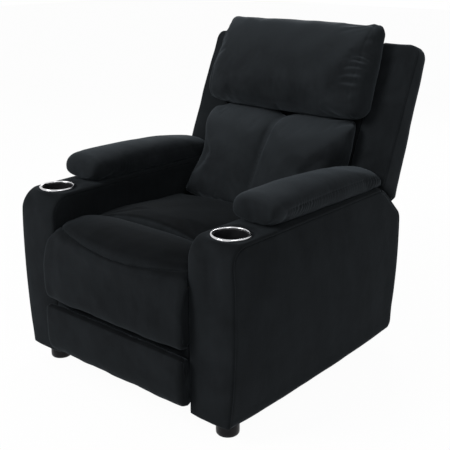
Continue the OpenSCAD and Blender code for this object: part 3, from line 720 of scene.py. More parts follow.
def armPanel(outwards, seed):  # a flat side of the arm: the outer one is 1, the inner one -1
    a = armSet
    outer = outwards > 0
    edge = a["edgeRadius"] + 0.8
    radius = a["rollRadius"]
    roll = edge + radius * (1 - np.cos(np.linspace(0, math.pi / 2, 18)))[:-1]
    ys = np.unique(np.concatenate([roll, np.linspace(edge + radius, armHigh.y - edge, 120)]))
    line = armOutline(edge)
    line = line[(line[:, 1] > armHigh.z - radius) | (line[:, 0] > radius)]
    line = line[:np.argmax(line[:, 0] > armHigh.y - edge - 0.01) + 1]
    tops = np.interp(ys, line[:, 0], line[:, 1])
    rows = np.linspace(0, 1, 74) ** 0.9
    crown = a["sideCrown"] if outer else a["innerCrown"]
    grid = np.zeros((len(ys), len(rows), 3))
    for i, (y, high) in enumerate(zip(ys, tops)):
        lowest = sideFoot(y)
        z = lowest + (high - lowest) * rows
        inside = np.minimum(np.minimum(y - ys[0], ys[-1] - y), high - z)
        lift = crown * smoothStep(inside, 0, a["crownRun"]) + a["panelOut"]
        lift -= a["seamDepth"] * np.exp(-inside / a["seamWidth"]) + turnIn(a["footRadius"], z - lowest)
        if outer:
            lift += flare(y, z)
        grid[i] = np.stack([(outerX if outer else innerX) + outwards * lift, np.full_like(z, y), z], 1)
    flat = grid.reshape(-1, 3)
    flat[:, 0] += outwards * folds(flat, seed, a["panelFolds"]) * (1.0 if outer else a["innerFolds"])
    return flat.reshape(grid.shape)


def makeArm(side):
    a = armSet
    path = armOutline()
    normals = -pathNormals(path)
    split = int(np.argmax(path[:, 0] > armHigh.y - a["slopeRun"] - 6))
    middle = [(innerX + outerX) / 2, armHigh.y / 2, armHigh.z / 2]
    seed = 0 if side == "left" else 10
    top = armHigh.z - a["rollRadius"]
    hole = cupHigh.x - cupX - a["holeIn"]

    band = armBand(path[:split], normals[:split], 11 + seed)
    # The cloth lies flat under the cup ring, and turns down into the seam at the slope
    away = np.hypot(band[..., 0] - cupX, band[..., 1] - cupY)
    flatFrom, flatTo = a["ringFlat"]
    near = (1 - smoothStep(away, ringRadius + flatFrom, ringRadius + flatTo)) * (band[..., 2] > top)
    near *= smoothStep(bandProfile()[:, 1], -5, 0)
    band[..., 2] += (ringLow.z - 0.6 - band[..., 2]) * near
    band[-1, :, 2] -= a["seamDepth"]
    wrap = shell("wrap", band, middle, lambda p: math.hypot(p[0] - cupX, p[1] - cupY) > hole or p[2] < top)
    # The cloth round the cup hole is cut to a circle
    points = readPoints(wrap)
    away = np.hypot(points[:, 0] - cupX, points[:, 1] - cupY)
    rim = (away < hole + a["rimWidth"]) & (points[:, 2] > top)
    out = (hole + a["rimOut"]) / np.maximum(away, 1)
    points[rim, 0] = cupX + (points[rim, 0] - cupX) * out[rim]
    points[rim, 1] = cupY + (points[rim, 1] - cupY) * out[rim]
    writePoints(wrap, points)

    outer = shell("outer", armPanel(1, 31 + seed), middle)
    inner = shell("inner", armPanel(-1, 51 + seed), middle)
    strip = armBand(path[split:], normals[split:], 71 + seed)
    strip[0, :, 2] -= a["seamDepth"]
    rear = shell("rear", strip, middle)
    for piece in (wrap, outer, inner, rear):
        thicken(piece, a["thickness"])
    covers = [("armWrap_", wrap, "arm_wrap_"), ("armInnerCover_", inner, "arm_inner_cover_"),
              ("armOuterCover_", join("outer", [outer, rear]), "arm_outer_cover_")]
    for name, piece, node in covers:
        piece.name = name + side
        if side == "right":
            mirror(piece)
        finishPiece(piece, "base", velvet, [node + side])


for side in sides:
    makeArm(side)
print("arms made")

# Arm pads: a stuffed loaf with a domed nose, a band down its sides and gathers along the band's seam
padSet = {
    "noseOut": 10, "noseRun": 40, "noseWidth": 0.78, "noseRunUp": 58, "noseHeight": 0.44, "noseLift": 10,
    "noseLiftRun": (4, 46), "tailRun": 46, "tailWidth": 0.66, "tailHeight": 0.5, "endPower": 2.3,
    "fall": 0.27, "fallFrom": 240, "fallRun": 350, "fallPower": 1.9,
    "crownDrop": 0.17, "power": 3.1, "shrink": 4,
    "seamHeight": 43, "seamDrop": 6, "seamDropRun": (480, 680), "seamDepth": 2.4, "seamWidth": 3.0,
    "seamFrom": (196, 250), "innerShare": 0.2, "gatherDepth": 1.9, "gatherLength": 12, "gatherAt": 285,
    "gatherWidth": 42, "tailGathers": (560, 640), "ripple": (0.8, 90),
}


def roundedEnd(distance, run, least):  # grows from least to 1 over the run, as a rounded end does
    power = padSet["endPower"]
    share = np.clip(distance / run, 0, 1)
    return least + (1 - least) * (1 - (1 - share) ** power) ** (1 / power)


def makePad(side):
    p = padSet
    low, high = nodeBox("arm_pad_left")
    middleX = (low.x + high.x) / 2
    halfW = (high.x - low.x) / 2
    draw = p["shrink"]
    front = low.y - p["noseOut"] + draw
    rear = high.y - draw
    tall = high.z - armHigh.z - draw
    outline = armOutline()
    outline = outline[(outline[:, 1] > armHigh.z - 60) & (outline[:, 0] > 60)]

    def armTop(y):
        return np.interp(y, outline[:, 0], outline[:, 1])

    count = 72
    angle = -2 * math.pi * np.arange(count) / count
    c = squared(np.cos(angle), p["power"])
    s = squared(np.sin(angle), p["power"])
    rings = []
    for u in stations(52):
        y = front + (rear - front) * (u + 1) / 2
        nose = y - front
        tail = rear - y
        wide = roundedEnd(nose, p["noseRun"], p["noseWidth"])
        wide *= roundedEnd(tail, p["tailRun"], p["tailWidth"])
        full = roundedEnd(nose, p["noseRunUp"], p["noseHeight"])
        full *= roundedEnd(tail, p["tailRun"], p["tailHeight"])
        fall = 1 - p["fall"] * max(0, (y - p["fallFrom"]) / p["fallRun"]) ** p["fallPower"]
        floor = armTop(y) + p["noseLift"] * (1 - smoothStep(nose, *p["noseLiftRun"]))
        rise = tall * (1 - p["crownDrop"] * c * c) * full * fall
        rings.append(np.stack([middleX - c * (halfW - draw) * wide, np.full(count, y),
                               floor + (1 + s) / 2 * rise], 1))
    piece = closedLoft("armPad_" + side, rings)
    plump(piece, voxel=5.0, pressure=4.0, cap=10, calm=6, held=lambda q: q[:, 2] < armTop(q[:, 1]) + 1.5)
    points = readPoints(piece)
    points[:, 2] = np.maximum(points[:, 2], armTop(points[:, 1]))
    points[:, 0] = np.clip(points[:, 0], low.x - 2, high.x + 4)
    writePoints(piece, points)
    # The band's seam along the sides, and the gathers under it, strongest near the nose and the tail
    normals = readNormals(piece)
    along = points[:, 1]
    off = points[:, 2] - (armHigh.z + p["seamHeight"] - p["seamDrop"] * smoothStep(along, *p["seamDropRun"]))
    sideways = smoothStep(np.abs(normals[:, 0]), 0.3, 0.75) * smoothStep(along, *p["seamFrom"])
    sideways *= np.where(points[:, 0] > middleX, 1.0, p["innerShare"])
    groove = -p["seamDepth"] * np.exp(-(off / p["seamWidth"]) ** 2) * sideways
    seed = 0 if side == "left" else 1
    gather = np.sin(2 * math.pi * along / p["gatherLength"] + 2.2 * ripple(points, 60, 5 + seed))
    strong = 0.2 + 0.8 * np.exp(-((along - p["gatherAt"]) / p["gatherWidth"]) ** 2)
    strong += 0.7 * smoothStep(along, *p["tailGathers"])
    below = np.exp(-np.abs(off + 3) / np.where(off < 0, 13.0, 6.0)) * sideways * strong
    writePoints(piece, points + normals * (groove + gather * below * p["gatherDepth"])[:, None])
    ruffle(piece, *p["ripple"], 9 + seed)
    if side == "right":
        mirror(piece)
    finishPiece(piece, "base", shadedVelvets["pad"], ["arm_pad_" + side])


for side in sides:
    makePad(side)
print("arm pads made")

# Seat cushion: crowned from arm to arm, highest along its crisp front edge and lower to the rear
seatSet = {"sideDrop": 60, "frontRise": 18, "rearFoot": 30, "rearRise": 4, "crown": 43, "rearCrown": 7,
           "crownPower": 2.3, "shrink": 3, "edgePower": 11, "endShare": 0.93, "endRounding": 0.07,
           "clearance": 2.5, "ripple": (1.0, 120)}


def makeSeatCushion():
    q = seatSet
    low, high = nodeBox("seat_cushion")
    sideZ = high.z - q["sideDrop"]
    draw = q["shrink"]
    count = 120
    corners = [(low.y + draw, low.z), (high.y - draw, low.z),
               (high.y - q["rearFoot"] - draw, sideZ + q["rearRise"] - draw),
               (low.y + draw, sideZ + q["frontRise"] - draw)]
    middle = np.mean(corners, 0)
    rings = []
    for u in stations(56):
        ring = roundedSection(corners, q["edgePower"], count)
        full = q["endShare"] + q["endRounding"] * max(0, 1 - abs(u) ** 12) ** (1 / 9)
        ring = middle + (ring - middle) * full
        along = np.clip((ring[:, 0] - low.y) / (high.y - low.y), 0, 1)
        crown = q["crown"] + (q["rearCrown"] - q["crown"]) * along ** 1.3
        height = np.clip((ring[:, 1] - low.z) / (sideZ - low.z), 0, 1)
        ring[:, 1] += crown * (1 - abs(u) ** q["crownPower"]) * height
        rings.append(np.column_stack([np.full(count, u * (high.x - draw)), ring]))
    piece = closedLoft("seatCushion", rings)
    plump(piece, voxel=6.0, pressure=2.5, cap=7, calm=8,
          held=lambda p: (p[:, 2] < low.z + 12) | (p[:, 1] < low.y + 8))
    points = readPoints(piece)
    points[:, 2] = np.maximum(points[:, 2], low.z)
    points[:, 0] = np.clip(points[:, 0], -innerX + q["clearance"], innerX - q["clearance"])
    points[:, 1] = np.maximum(points[:, 1], low.y)
    writePoints(piece, points)
    ruffle(piece, *q["ripple"], 12)
    finishPiece(piece, "seat", shadedVelvets["seat"], ["seat_cushion"])


makeSeatCushion()

# The two padded panels of the front have the same ends
endSet = {"clearance": 1.2, "radius": 11, "spread": 11, "wrapFrom": 236, "wrapRun": 3, "wrapDepth": 11}
panelHalf = innerX - endSet["clearance"]


def endInset(x):  # how far a panel has drawn in at its rounded end
    return roundOff(endSet["radius"], max(0, abs(x) - (panelHalf - endSet["radius"])))


def endWrap(x):  # the cloth at a panel's end reaches round behind it
    e = endSet
    return e["wrapDepth"] * smoothStep(abs(x), e["wrapFrom"], e["wrapFrom"] + e["wrapRun"])


def endSpread(u, ahead):  # in front of the arms a panel's end spreads over them
    return endSet["spread"] * abs(u) ** 12 * np.sign(u) * ahead


# Front cover: one skin over the knee roll and the upper panel
frontSet = {
    "core": [(117.5, 418), (60, 424), (20, 417), (-9.6, 402), (-22.4, 375), (-25.6, 340), (-25.6, 300),
             (-22.4, 268), (-14.4, 252), (-0.5, 248)],
    "centre": [(117.5, 452), (113, 464), (98, 469), (60, 472), (20, 466), (-12, 452), (-30.4, 437),
               (-40.8, 420), (-45.6, 398), (-46.4, 350), (-46, 300), (-45.2, 265), (-41.6, 246),
               (-33.6, 236.5), (-20, 234), (-0.5, 233)],
    "end": [(117.5, 432), (113, 442), (98, 445), (61, 442), (36, 436), (9, 427), (-11.2, 414),
            (-25.6, 398), (-34.4, 376), (-40, 345), (-41.6, 300), (-40.8, 266), (-37.6, 247),
            (-30.4, 237.5), (-18.4, 234.5), (-0.5, 233.5)],
    "back": [(-0.5, 300), (-0.5, 385), (-11.2, 408), (-24.8, 436), (-8, 434), (20, 428), (70, 418),
             (117.5, 406)],
    "backEnd": [(-0.5, 300), (-0.5, 372), (-4.8, 384), (-9.6, 394), (5, 402), (20, 408), (70, 412),
                (117.5, 404)],
    # The seam's place over the roll, x across and y: it curves up at both ends
    "seam": [(-256, 31), (-225, 10), (-200, -4.8), (-170, -16.8), (-145, -24), (-106, -32), (-64, -36.8),
             (-10, -40), (43, -40.4), (94, -38.8), (141, -33.6), (179, -24), (199, -16), (227, 0), (256, 27)],
    "seamDepth": 4.2, "seamWidth": 2.6, "puff": 2.4, "puffAt": 22, "puffWidth": 15, "neck": 9,
    "folds": ((130, 1.6), (48, 0.5)), "between": -4,
}


def makeFrontCover():
    f = frontSet
    core = spline(f["core"], 200)
    centre = np.array(f["centre"], float)
    end = np.array(f["end"], float)
    backs = []
    for name in ("back", "backEnd"):
        line = np.array(f[name], float)
        starts = [end[-1]] + list(line[:-1])
        backs.append(np.concatenate([np.linspace(a, b, 5)[1:] for a, b in zip(starts, line)]))
    backCore = core[np.linspace(len(core) - 1, 0, len(backs[0])).astype(int)]
    upper = 1 - np.linspace(1, 0, 44) ** 1.5
    lower = np.linspace(0, 1, 50)[1:] ** 1.5
    seamLine = spline(f["seam"], 160)
    rings = []
    cores = []
    for u in stations(88):
        share = abs(u) ** 3.4
        x = u * panelHalf
        path = spline(centre * (1 - share) + end * share, 260)
        along = lengthsAlong(path)
        seam = along[int(np.argmax(path[:, 0] < np.interp(x, seamLine[:, 0], seamLine[:, 1])))]
        places = np.concatenate([seam * upper, seam + (along[-1] - seam) * lower])
        points = placesAlong(path, along, places)
        off = np.abs(places - seam)
        lift = f["puff"] * np.exp(-((off - f["puffAt"]) / f["puffWidth"]) ** 2)
        lift -= f["seamDepth"] * np.exp(-off / f["seamWidth"])
        middle = core[(places / along[-1] * (len(core) - 1)).astype(int)]
        inwards = middle - points
        far = np.maximum(np.linalg.norm(inwards, axis=1, keepdims=True), 1e-6)
        points = points + pathNormals(points) * lift[:, None] + inwards / far * np.minimum(endInset(x), far)
        back = backs[0] * (1 - share) + backs[1] * share
        back[:, 0] += endWrap(x) * smoothStep(-back[:, 1], -412, -400)
        ring = np.concatenate([points, back])
        rings.append(np.column_stack([x + endSpread(u, smoothStep(-ring[:, 0], 3, 16)), ring]))
        cores.append(np.column_stack([np.full(len(ring), x), np.concatenate([middle, backCore])]))
    piece = closedLoft("frontCover", rings, cores)
    points = readPoints(piece)
    outer = smoothStep(-points[:, 1], -100, 20)
    points += readNormals(piece) * (folds(points, 14, f["folds"]) * outer)[:, None]
    # The part between the arms keeps clear of them
    clear = np.clip(points[:, 0], -innerX + 1, innerX - 1)
    points[:, 0] = np.where(points[:, 1] > f["between"], clear, points[:, 0])
    writePoints(piece, points)
    finishPiece(piece, "seat", shadedVelvets["front"], ["knee_roll", "upper_panel_pad"])
    piece.parent = None
    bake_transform(piece)


makeFrontCover()

# Lower panel of the footrest
lowerSet = {
    "path": [(-0.5, 201), (-12, 209), (-24, 218), (-33, 216.5), (-38.5, 214.5), (-42, 204), (-44, 180),
             (-44.5, 150), (-43, 122), (-39, 98), (-30, 82), (-16, 76.5), (-0.5, 76)],
    "lining": [(-3, 198), (-3, 237.5), (8, 237.5), (8, 217), (-0.6, 217), (-0.6, 198)],
    "tab": [(3, 196), (3, 300), (14, 300), (14, 196)], "tabEnds": (236, 251.5),
    "folds": ((120, 1.3), (45, 0.4)), "edgeAt": 214, "edgeWidth": 12, "pinch": 0.8, "pinchLength": 11,
}


def bar(name, ends, outline):  # a loft of one outline in y and z, along x
    return closedLoft(name, [[(x, y, z) for y, z in outline] for x in ends])


def makeLowerPanel():
    g = lowerSet
    path = spline(g["path"], 84)
    normals = pathNormals(path)
    back = np.linspace(path[-1], path[0], 14)[1:-1]
    order = np.arange(len(path))
    fade = smoothStep(order, 0, 6) * smoothStep(order[::-1], 0, 6)
    rings = []
    for u in stations(72):
        x = u * panelHalf
        front = path - normals * (endInset(x) * fade)[:, None]
        ring = np.concatenate([front, back + np.array([endWrap(x), 0])])
        rings.append(np.column_stack([x + endSpread(u, smoothStep(-ring[:, 0], 3, 14)), ring]))
    # A strip of cloth joins the two panels behind the gap between them, with a tab at each end
    lining = bar("lining", np.linspace(-panelHalf, panelHalf, 12), g["lining"])
    tabs = [bar("tab", [x * way for x in g["tabEnds"]], g["tab"]) for way in (-1, 1)]
    piece = join("lowerPanel", [closedLoft("panel", rings), lining] + tabs)
    points = readPoints(piece)
    outer = smoothStep(-points[:, 1], 0, 20)
    topEdge = np.exp(-((points[:, 2] - g["edgeAt"]) / g["edgeWidth"]) ** 2)
    wave = folds(points, 17, g["folds"])
    wave += topEdge * g["pinch"] * np.sin(points[:, 0] / g["pinchLength"] + 2 * ripple(points, 90, 19))
    writePoints(piece, points + readNormals(piece) * (wave * outer)[:, None])
    finishPiece(piece, "footrest", shadedVelvets["front"], ["lower_panel_pad"])


makeLowerPanel()
print("seat and footrest made")

# Back: wings, rear panel and foam, then the lumbar cushion and the head pillow
wingSet = {"frontFoot": 294, "rearFoot": 243, "edgeRadius": 6, "rearRadius": 58, "innerRadius": 6,
           "topRadius": 32, "lidRadius": 12, "crown": 5, "seamBack": -1.5, "seamDepth": 1.5,
           "seamWidth": 2.4, "rows": 70, "taper": 40, "hemDepth": 5, "hemHeight": 9,
           "folds": ((140, 1.2), (45, 0.3))}


def roundedBox(x0, x1, t0, t1, radii, perSide, perCorner=8):  # a ring in x and t, from its low corner on
    centres = [(x0 + radii[0], t0 + radii[0]), (x1 - radii[1], t0 + radii[1]),
               (x1 - radii[2], t1 - radii[2]), (x0 + radii[3], t1 - radii[3])]
    ring = []
    for k, (radius, centre) in enumerate(zip(radii, centres)):
        begin = math.pi + k * math.pi / 2
        arc = [(centre[0] + radius * math.cos(begin + a), centre[1] + radius * math.sin(begin + a))
               for a in np.linspace(0, math.pi / 2, perCorner)]
        if ring:
            ring += [tuple(p) for p in np.linspace(ring[-1], arc[0], perSide)[1:-1]]
        ring += arc
    ring += [tuple(p) for p in np.linspace(ring[-1], ring[0], perSide)[1:-1]]
    return np.array(ring)


def makeWing(side):
    w = wingSet
    low, high = leaningBox("wing_left")
    inner, outer = low[0], high[0]
    front, rear, top = low[1], high[1], high[2]
    tall = top - w["frontFoot"]
    middleX = (inner + outer) / 2
    rings = []
    for share in np.linspace(0, 1, w["rows"]) ** 0.85:
        frontAt = front + w["taper"] * share
        middleT = (frontAt + rear) / 2
        rise = share * tall
        pull = roundOff(w["topRadius"], max(0, rise - (tall - w["topRadius"])))
        tuck = roundOff(w["lidRadius"], max(0, rise - (tall - w["lidRadius"])))
        hem = w["hemDepth"] * max(0, 1 - rise / w["hemHeight"]) ** 2
        rearRadius = min(w["rearRadius"], (rear - frontAt) * 0.62)
        ring = roundedBox(inner, outer - pull - hem, frontAt + tuck * 0.9 + hem, rear - tuck * 0.9 - hem,
                          [w["innerRadius"], w["edgeRadius"], rearRadius - tuck * 0.5, w["innerRadius"]],
                          perSide=26, perCorner=12)
        bulge = w["crown"] * math.sin(math.pi * share) ** 0.5
        toFront = np.clip((middleT - ring[:, 1]) / (middleT - frontAt), 0, 1) ** 3
        outside = np.clip((ring[:, 0] - middleX) / (outer - middleX), 0, 1) ** 3
        acrossX = np.clip(1 - ((ring[:, 0] - middleX) / (outer - middleX)) ** 2, 0, 1)
        acrossT = np.clip(1 - ((ring[:, 1] - middleT) / (rear - middleT)) ** 2, 0, 1)
        ring[:, 1] -= bulge * toFront * acrossX
        ring[:, 0] += bulge * 0.5 * outside * acrossT
        # The seam of the side panel runs down just behind the outer front edge
        off = np.hypot(ring[:, 0] - (outer - pull), ring[:, 1] - (frontAt + w["edgeRadius"] + w["seamBack"]))
        ring[:, 0] -= w["seamDepth"] * np.exp(-(off / w["seamWidth"]) ** 2)
        base = w["frontFoot"] + (w["rearFoot"] - w["frontFoot"]) * (ring[:, 1] - front) / (rear - front)
        rings.append(np.column_stack([ring, base + (top - base) * share]))
    piece = backLoft("wingCover_" + side, rings)
    points = readPoints(piece)
    wave = folds(points, 23 if side == "left" else 27, w["folds"])
    writePoints(piece, points + readNormals(piece) * wave[:, None])
    if side == "right":
        mirror(piece)
    finishPiece(piece, "back", shadedVelvets["wing"], ["wing_" + side])


for side in sides:
    makeWing(side)

rearSet = {"half": 245, "widenOver": 6, "widenAbove": 40, "depth": 15.7, "radii": (2, 2, 7, 7),
           "topRadius": 14, "topShare": 0.6, "bow": 4, "capHeight": 12, "capFront": -3,
           "capDepth": 15, "capTuck": 5, "capRadii": (4, 4, 1, 1), "skirt": (248.4, 250.4),
           "skirtFront": -20, "skirtRear": 18, "skirtHeights": (215, 260, 304), "ripple": (0.9, 120)}


def ringAt(height, ring):  # a ring in x and t, at a height up the back
    return np.column_stack([ring, np.full(len(ring), height)])


def makeRearPanel():
    r = rearSet
    low, high = leaningBox("rear_panel")
    halfTop, rear, top = high
    step = wingSet["rearFoot"] + r["widenAbove"]
    inner = rear - r["depth"]
    rings = []
    for share in np.linspace(0, 1, 60):
        s = low[2] + (top - low[2]) * share
        half = r["half"] + (halfTop - r["half"]) * smoothStep(s, step - r["widenOver"], step + r["widenOver"])
        tuck = roundOff(r["topRadius"], max(0, s - (top - r["topRadius"])))
        ring = roundedBox(-half, half, inner, rear - tuck * r["topShare"], r["radii"], perSide=40)
        bow = np.clip(1 - (ring[:, 0] / half) ** 2, 0, 1) * r["bow"] * math.sin(math.pi * share) ** 0.5
        ring[:, 1] += bow * (ring[:, 1] > (inner + rear) / 2)
        rings.append(ringAt(s, ring))
    flat = backLoft("rearPanelPad", rings)
    rings = []
    for share in np.linspace(0, 1, 16):
        ring = roundedBox(-halfTop, halfTop, r["capFront"] + r["capTuck"] * share ** 3, rear - r["capDepth"],
                          r["capRadii"], perSide=30)
        rings.append(ringAt(top - r["capHeight"] * (1 - share), ring))
    lid = backLoft("topCap", rings)
    # A strip of cloth covers each side of the frame between the arm and the wing
    skirts = []
    skirtRear = rear - r["skirtRear"]
    for way in (-1, 1):
        near, far = [way * x for x in r["skirt"]]
        ring = [(near, r["skirtFront"]), (far, r["skirtFront"]), (far, skirtRear), (near, skirtRear)]
        skirts.append(backLoft("skirt", [ringAt(s, ring) for s in r["skirtHeights"]]))
    piece = join("rearPanelCover", [flat, lid] + skirts)
    ruffle(piece, *r["ripple"], 33)
    finishPiece(piece, "back", velvet, ["rear_panel"])


makeRearPanel()

foamSet = {"half": 245.5, "widenOver": 4, "radii": (5, 5, 3, 3)}


def makeFoam():
    m = foamSet
    low, high = leaningBox("back_foam")
    step = wingSet["frontFoot"]
    rings = []
    for share in np.linspace(0, 1, 40):
        s = low[2] + (high[2] - low[2]) * share
        half = m["half"] + (high[0] - m["half"]) * smoothStep(s, step - m["widenOver"], step + m["widenOver"])
        rings.append(ringAt(s, roundedBox(-half, half, low[1], high[1], m["radii"], perSide=24)))
    piece = backLoft("backFoamCover", rings)
    finishPiece(piece, "back", velvet, ["back_foam"])


makeFoam()

lumbarSet = {
    "front": [(-170, 150), (-178, 170), (-172, 215), (-160, 280), (-146, 350), (-126, 405), (-98, 438),
              (-66, 458)],
    "footIn": 14, "topIn": 26, "top": 466, "crown": 12, "creaseWidth": 12, "creaseDepth": 13,
    "footCrease": 0.45, "creaseGain": 0.55, "creaseTo": 420, "notch": 22, "notchWidth": 34,
    "notchRun": (380, 470), "shrink": 3, "spread": 20, "spreadRun": (290, 400), "endRadius": 34,
    "endShare": 0.62, "endRun": (200, 300), "coreIn": 30, "coreFoot": 45, "coreTop": 430,
    "ripple": (1.0, 100),
}


def makeLumbar():  # two upright channels, thick at the foot and thinner under the pillow
    m = lumbarSet
    low, high = leaningBox("lumbar_cushion")
    rear, foot = high[1], low[2]
    half = innerX - 3 - m["shrink"]
    face = spline([(rear - m["footIn"], foot - 1)] + m["front"] + [(rear - m["topIn"], m["top"])], 90)
    back = np.linspace(face[-1] + np.array([m["topIn"], 0]), face[0] + np.array([m["footIn"], 0]), 26)
    ring = np.concatenate([face, back])
    t, s = ring.T
    core = np.column_stack([np.full(len(ring), rear - m["coreIn"]),
                            np.clip(s, foot + m["coreFoot"], m["coreTop"])])
    facing = smoothStep(rear - t, 40, 100)
    # The crease is deepest at its top and nearly closes at the foot
    deep = m["footCrease"] + m["creaseGain"] * smoothStep(s, foot, m["creaseTo"])
    rings = []
    cores = []
    for u in stations(90):
        place = u * half
        crease = math.exp(-abs(place / m["creaseWidth"]) ** 1.4)
        notch = m["notch"] * math.exp(-abs(place / m["notchWidth"]) ** 1.3) * smoothStep(s, *m["notchRun"])
        channel = m["crown"] * (1 - (2 * abs(u) - 1) ** 2) - (m["creaseDepth"] * deep + 2) * crease
        own = ring.copy()
        own[:, 0] -= channel * facing
        own[:, 1] -= notch
        beyond = max(0, abs(place) - (half - m["endRadius"]))
        inset = roundOff(1, beyond / m["endRadius"])
        own += (core - own) * inset * (1 - m["endShare"]) * smoothStep(own[:, 1:], *m["endRun"])
        # Above the arms the cushion spreads over the wings
        wider = m["spread"] * smoothStep(own[:, 1], *m["spreadRun"]) * smoothStep(rear - own[:, 0], 26, 44)
        rings.append(np.column_stack([place + u * wider, own]))
        cores.append(np.column_stack([place + u * wider * 0.8, core]))
    piece = backLoft("lumbarCushion", rings, cores)

    def held(points):
        own = inBack(points)
        return (own[:, 1] > rear - 4) | (np.abs(own[:, 0]) < 4)

    plump(piece, voxel=5.5, pressure=3.5, cap=9, calm=5, held=held)
    points = readPoints(piece)
    limit = innerX - 2.5 + m["spread"] * smoothStep(inBack(points)[:, 2], *m["spreadRun"])
    points[:, 0] = np.clip(points[:, 0], -limit, limit)
    writePoints(piece, points)
    ruffle(piece, *m["ripple"], 37)
    finishPiece(piece, "back", shadedVelvets["back"], ["lumbar_cushion"])


makeLumbar()

pillowSet = {
    "front": [(-52, 468), (-92, 463), (-126, 471), (-143, 502), (-144, 555), (-133, 620), (-114, 680),
              (-93, 722), (-70, 742), (-46, 747)],
    "rearIn": 8, "reach": 8, "endIn": 18, "crown": 10, "shrink": 3, "endRadius": 22, "endShare": 0.62,
    "cornerRun": 40, "cornerDrop": 11, "cornerFade": (60, 130), "coreIn": 28, "coreShare": 0.74, "seamIn": 30,
    "seamDepth": 1.2, "seamWidth": 3.5, "puckerDepth": 2.4, "puckerLength": 24, "puckerRadius": 120,
    "ripple": (1.1, 110),
}


def makePillow():  # a smooth bolster that overhangs the lumbar cushion
    h = pillowSet
    low, high = leaningBox("head_pillow")
    rear, foot, top, half = high[1], low[2], high[2], high[0] + h["reach"]
    draw = h["shrink"]
    rearIn = rear - h["rearIn"]
    face = spline([(rearIn, foot + 6)] + h["front"] + [(rearIn, top - 6)], 96)
    back = np.linspace(face[-1] + np.array([6, -8]), face[0] + np.array([6, 8]), 24)
    ring = np.concatenate([face, back])
    middleS = (foot + top) / 2
    core = np.column_stack([np.full(len(ring), rear - h["coreIn"]),
                            middleS + (ring[:, 1] - middleS) * h["coreShare"]])
    facing = smoothStep(rear - ring[:, 0], 20, 70)
    rings = []
    cores = []
    for u in stations(70):
        place = u * (half - draw)
        own = ring.copy()
        own[:, 0] += (h["endIn"] * abs(u) ** 5 - h["crown"] * (1 - abs(u) ** 2.5)) * facing
        beyond = max(0, abs(place) - (half - draw - h["endRadius"]))
        inset = roundOff(1, beyond / h["endRadius"])
        own += (core - own) * inset * (1 - h["endShare"])
        corner = np.clip((abs(place) - (half - h["cornerRun"])) / h["cornerRun"], 0, 1) ** 2.5
        below = smoothStep(middleS - own[:, 1], *h["cornerFade"])
        above = smoothStep(own[:, 1] - middleS, *h["cornerFade"])
        own[:, 1] += h["cornerDrop"] * corner * (below - above)
        rings.append(np.column_stack([np.full(len(ring), place), own]))
        cores.append(np.column_stack([np.full(len(ring), place), core]))
    piece = backLoft("headPillow", rings, cores)
    plump(piece, voxel=5.5, pressure=3.5, cap=9, calm=6, held=lambda p: inBack(p)[:, 1] > rear - 4)
    points = readPoints(piece)
    own = inBack(points)
    # A seam near each end, with puckers that run in from it
    off = np.abs(own[:, 0]) - (half - h["seamIn"])
    facing = smoothStep(rear - own[:, 1], 12, 40)
    around = np.arctan2(own[:, 2] - middleS, rear - own[:, 1]) * h["puckerRadius"]
    pucker = np.sin(2 * math.pi * around / h["puckerLength"] + 2.5 * ripple(points, 90, 41))
    reach = np.exp(-np.abs(off) / np.where(off < 0, 26.0, 10.0))
    reach *= smoothStep(ripple(points, 110, 43), -0.3, 0.5)
    lift = pucker * reach * h["puckerDepth"] * smoothStep(own[:, 0], 0, 60)
    lift -= h["seamDepth"] * np.exp(-(off / h["seamWidth"]) ** 2)
    writePoints(piece, points + readNormals(piece) * (lift * facing)[:, None])
    ruffle(piece, *h["ripple"], 44)
    finishPiece(piece, "back", shadedVelvets["back"], ["head_pillow"])


makePillow()
print("back made")

# Feet: turned, with a rounded foot edge
footSet = {"profile": [(0, 0), (24, 0), (28.5, 1.2), (30.2, 4), (30.6, 10), (30.4, 22),
                       (29.8, 38), (29.3, 50), (29.0, 53), (0, 53)]}


def lathe(profile, count=64):
    radius, height = np.array(profile, float).T
    turn = np.linspace(0, 2 * math.pi, count, endpoint=False)
    grid = np.stack([np.stack([radius * math.cos(a), radius * math.sin(a), height], 1) for a in turn], 1)
    return grid.reshape(-1, 3), gridFaces(len(profile), count, around=True)


def makeFeet():
    corners = readPoints(frame["nodes"]["feet"])
    middle = (corners.min(0) + corners.max(0)) / 2
    points, faces = lathe(footSet["profile"])
    allPoints = []
    allFaces = []
    for x in (-1, 1):
        for y in (-1, 1):
            own = corners[((corners[:, 0] - middle[0]) * x > 0) & ((corners[:, 1] - middle[1]) * y > 0)]
            place = (own.min(0) + own.max(0)) / 2
            allFaces += [tuple(i + len(allPoints) * len(points) for i in f) for f in faces]
            allPoints.append(points + np.array([place[0], place[1], 0]))
    piece = addMesh("turnedFeet", np.concatenate(allPoints), allFaces)
    editMesh(piece, lambda build: bmesh.ops.remove_doubles(build, verts=build.verts, dist=0.01 * mm))
    fixNormals(piece)
    finishPiece(piece, "base", materials["foot_plastic"], ["feet"])


makeFeet()
print("feet made")

# Floor, light and camera
cameraSet = {"focal": 66.54, "film": 36, "azimuth": 40.52, "elevation": 18.42, "roll": -0.06,
             "place": (1517.4, -1343.5, 1165.3)}


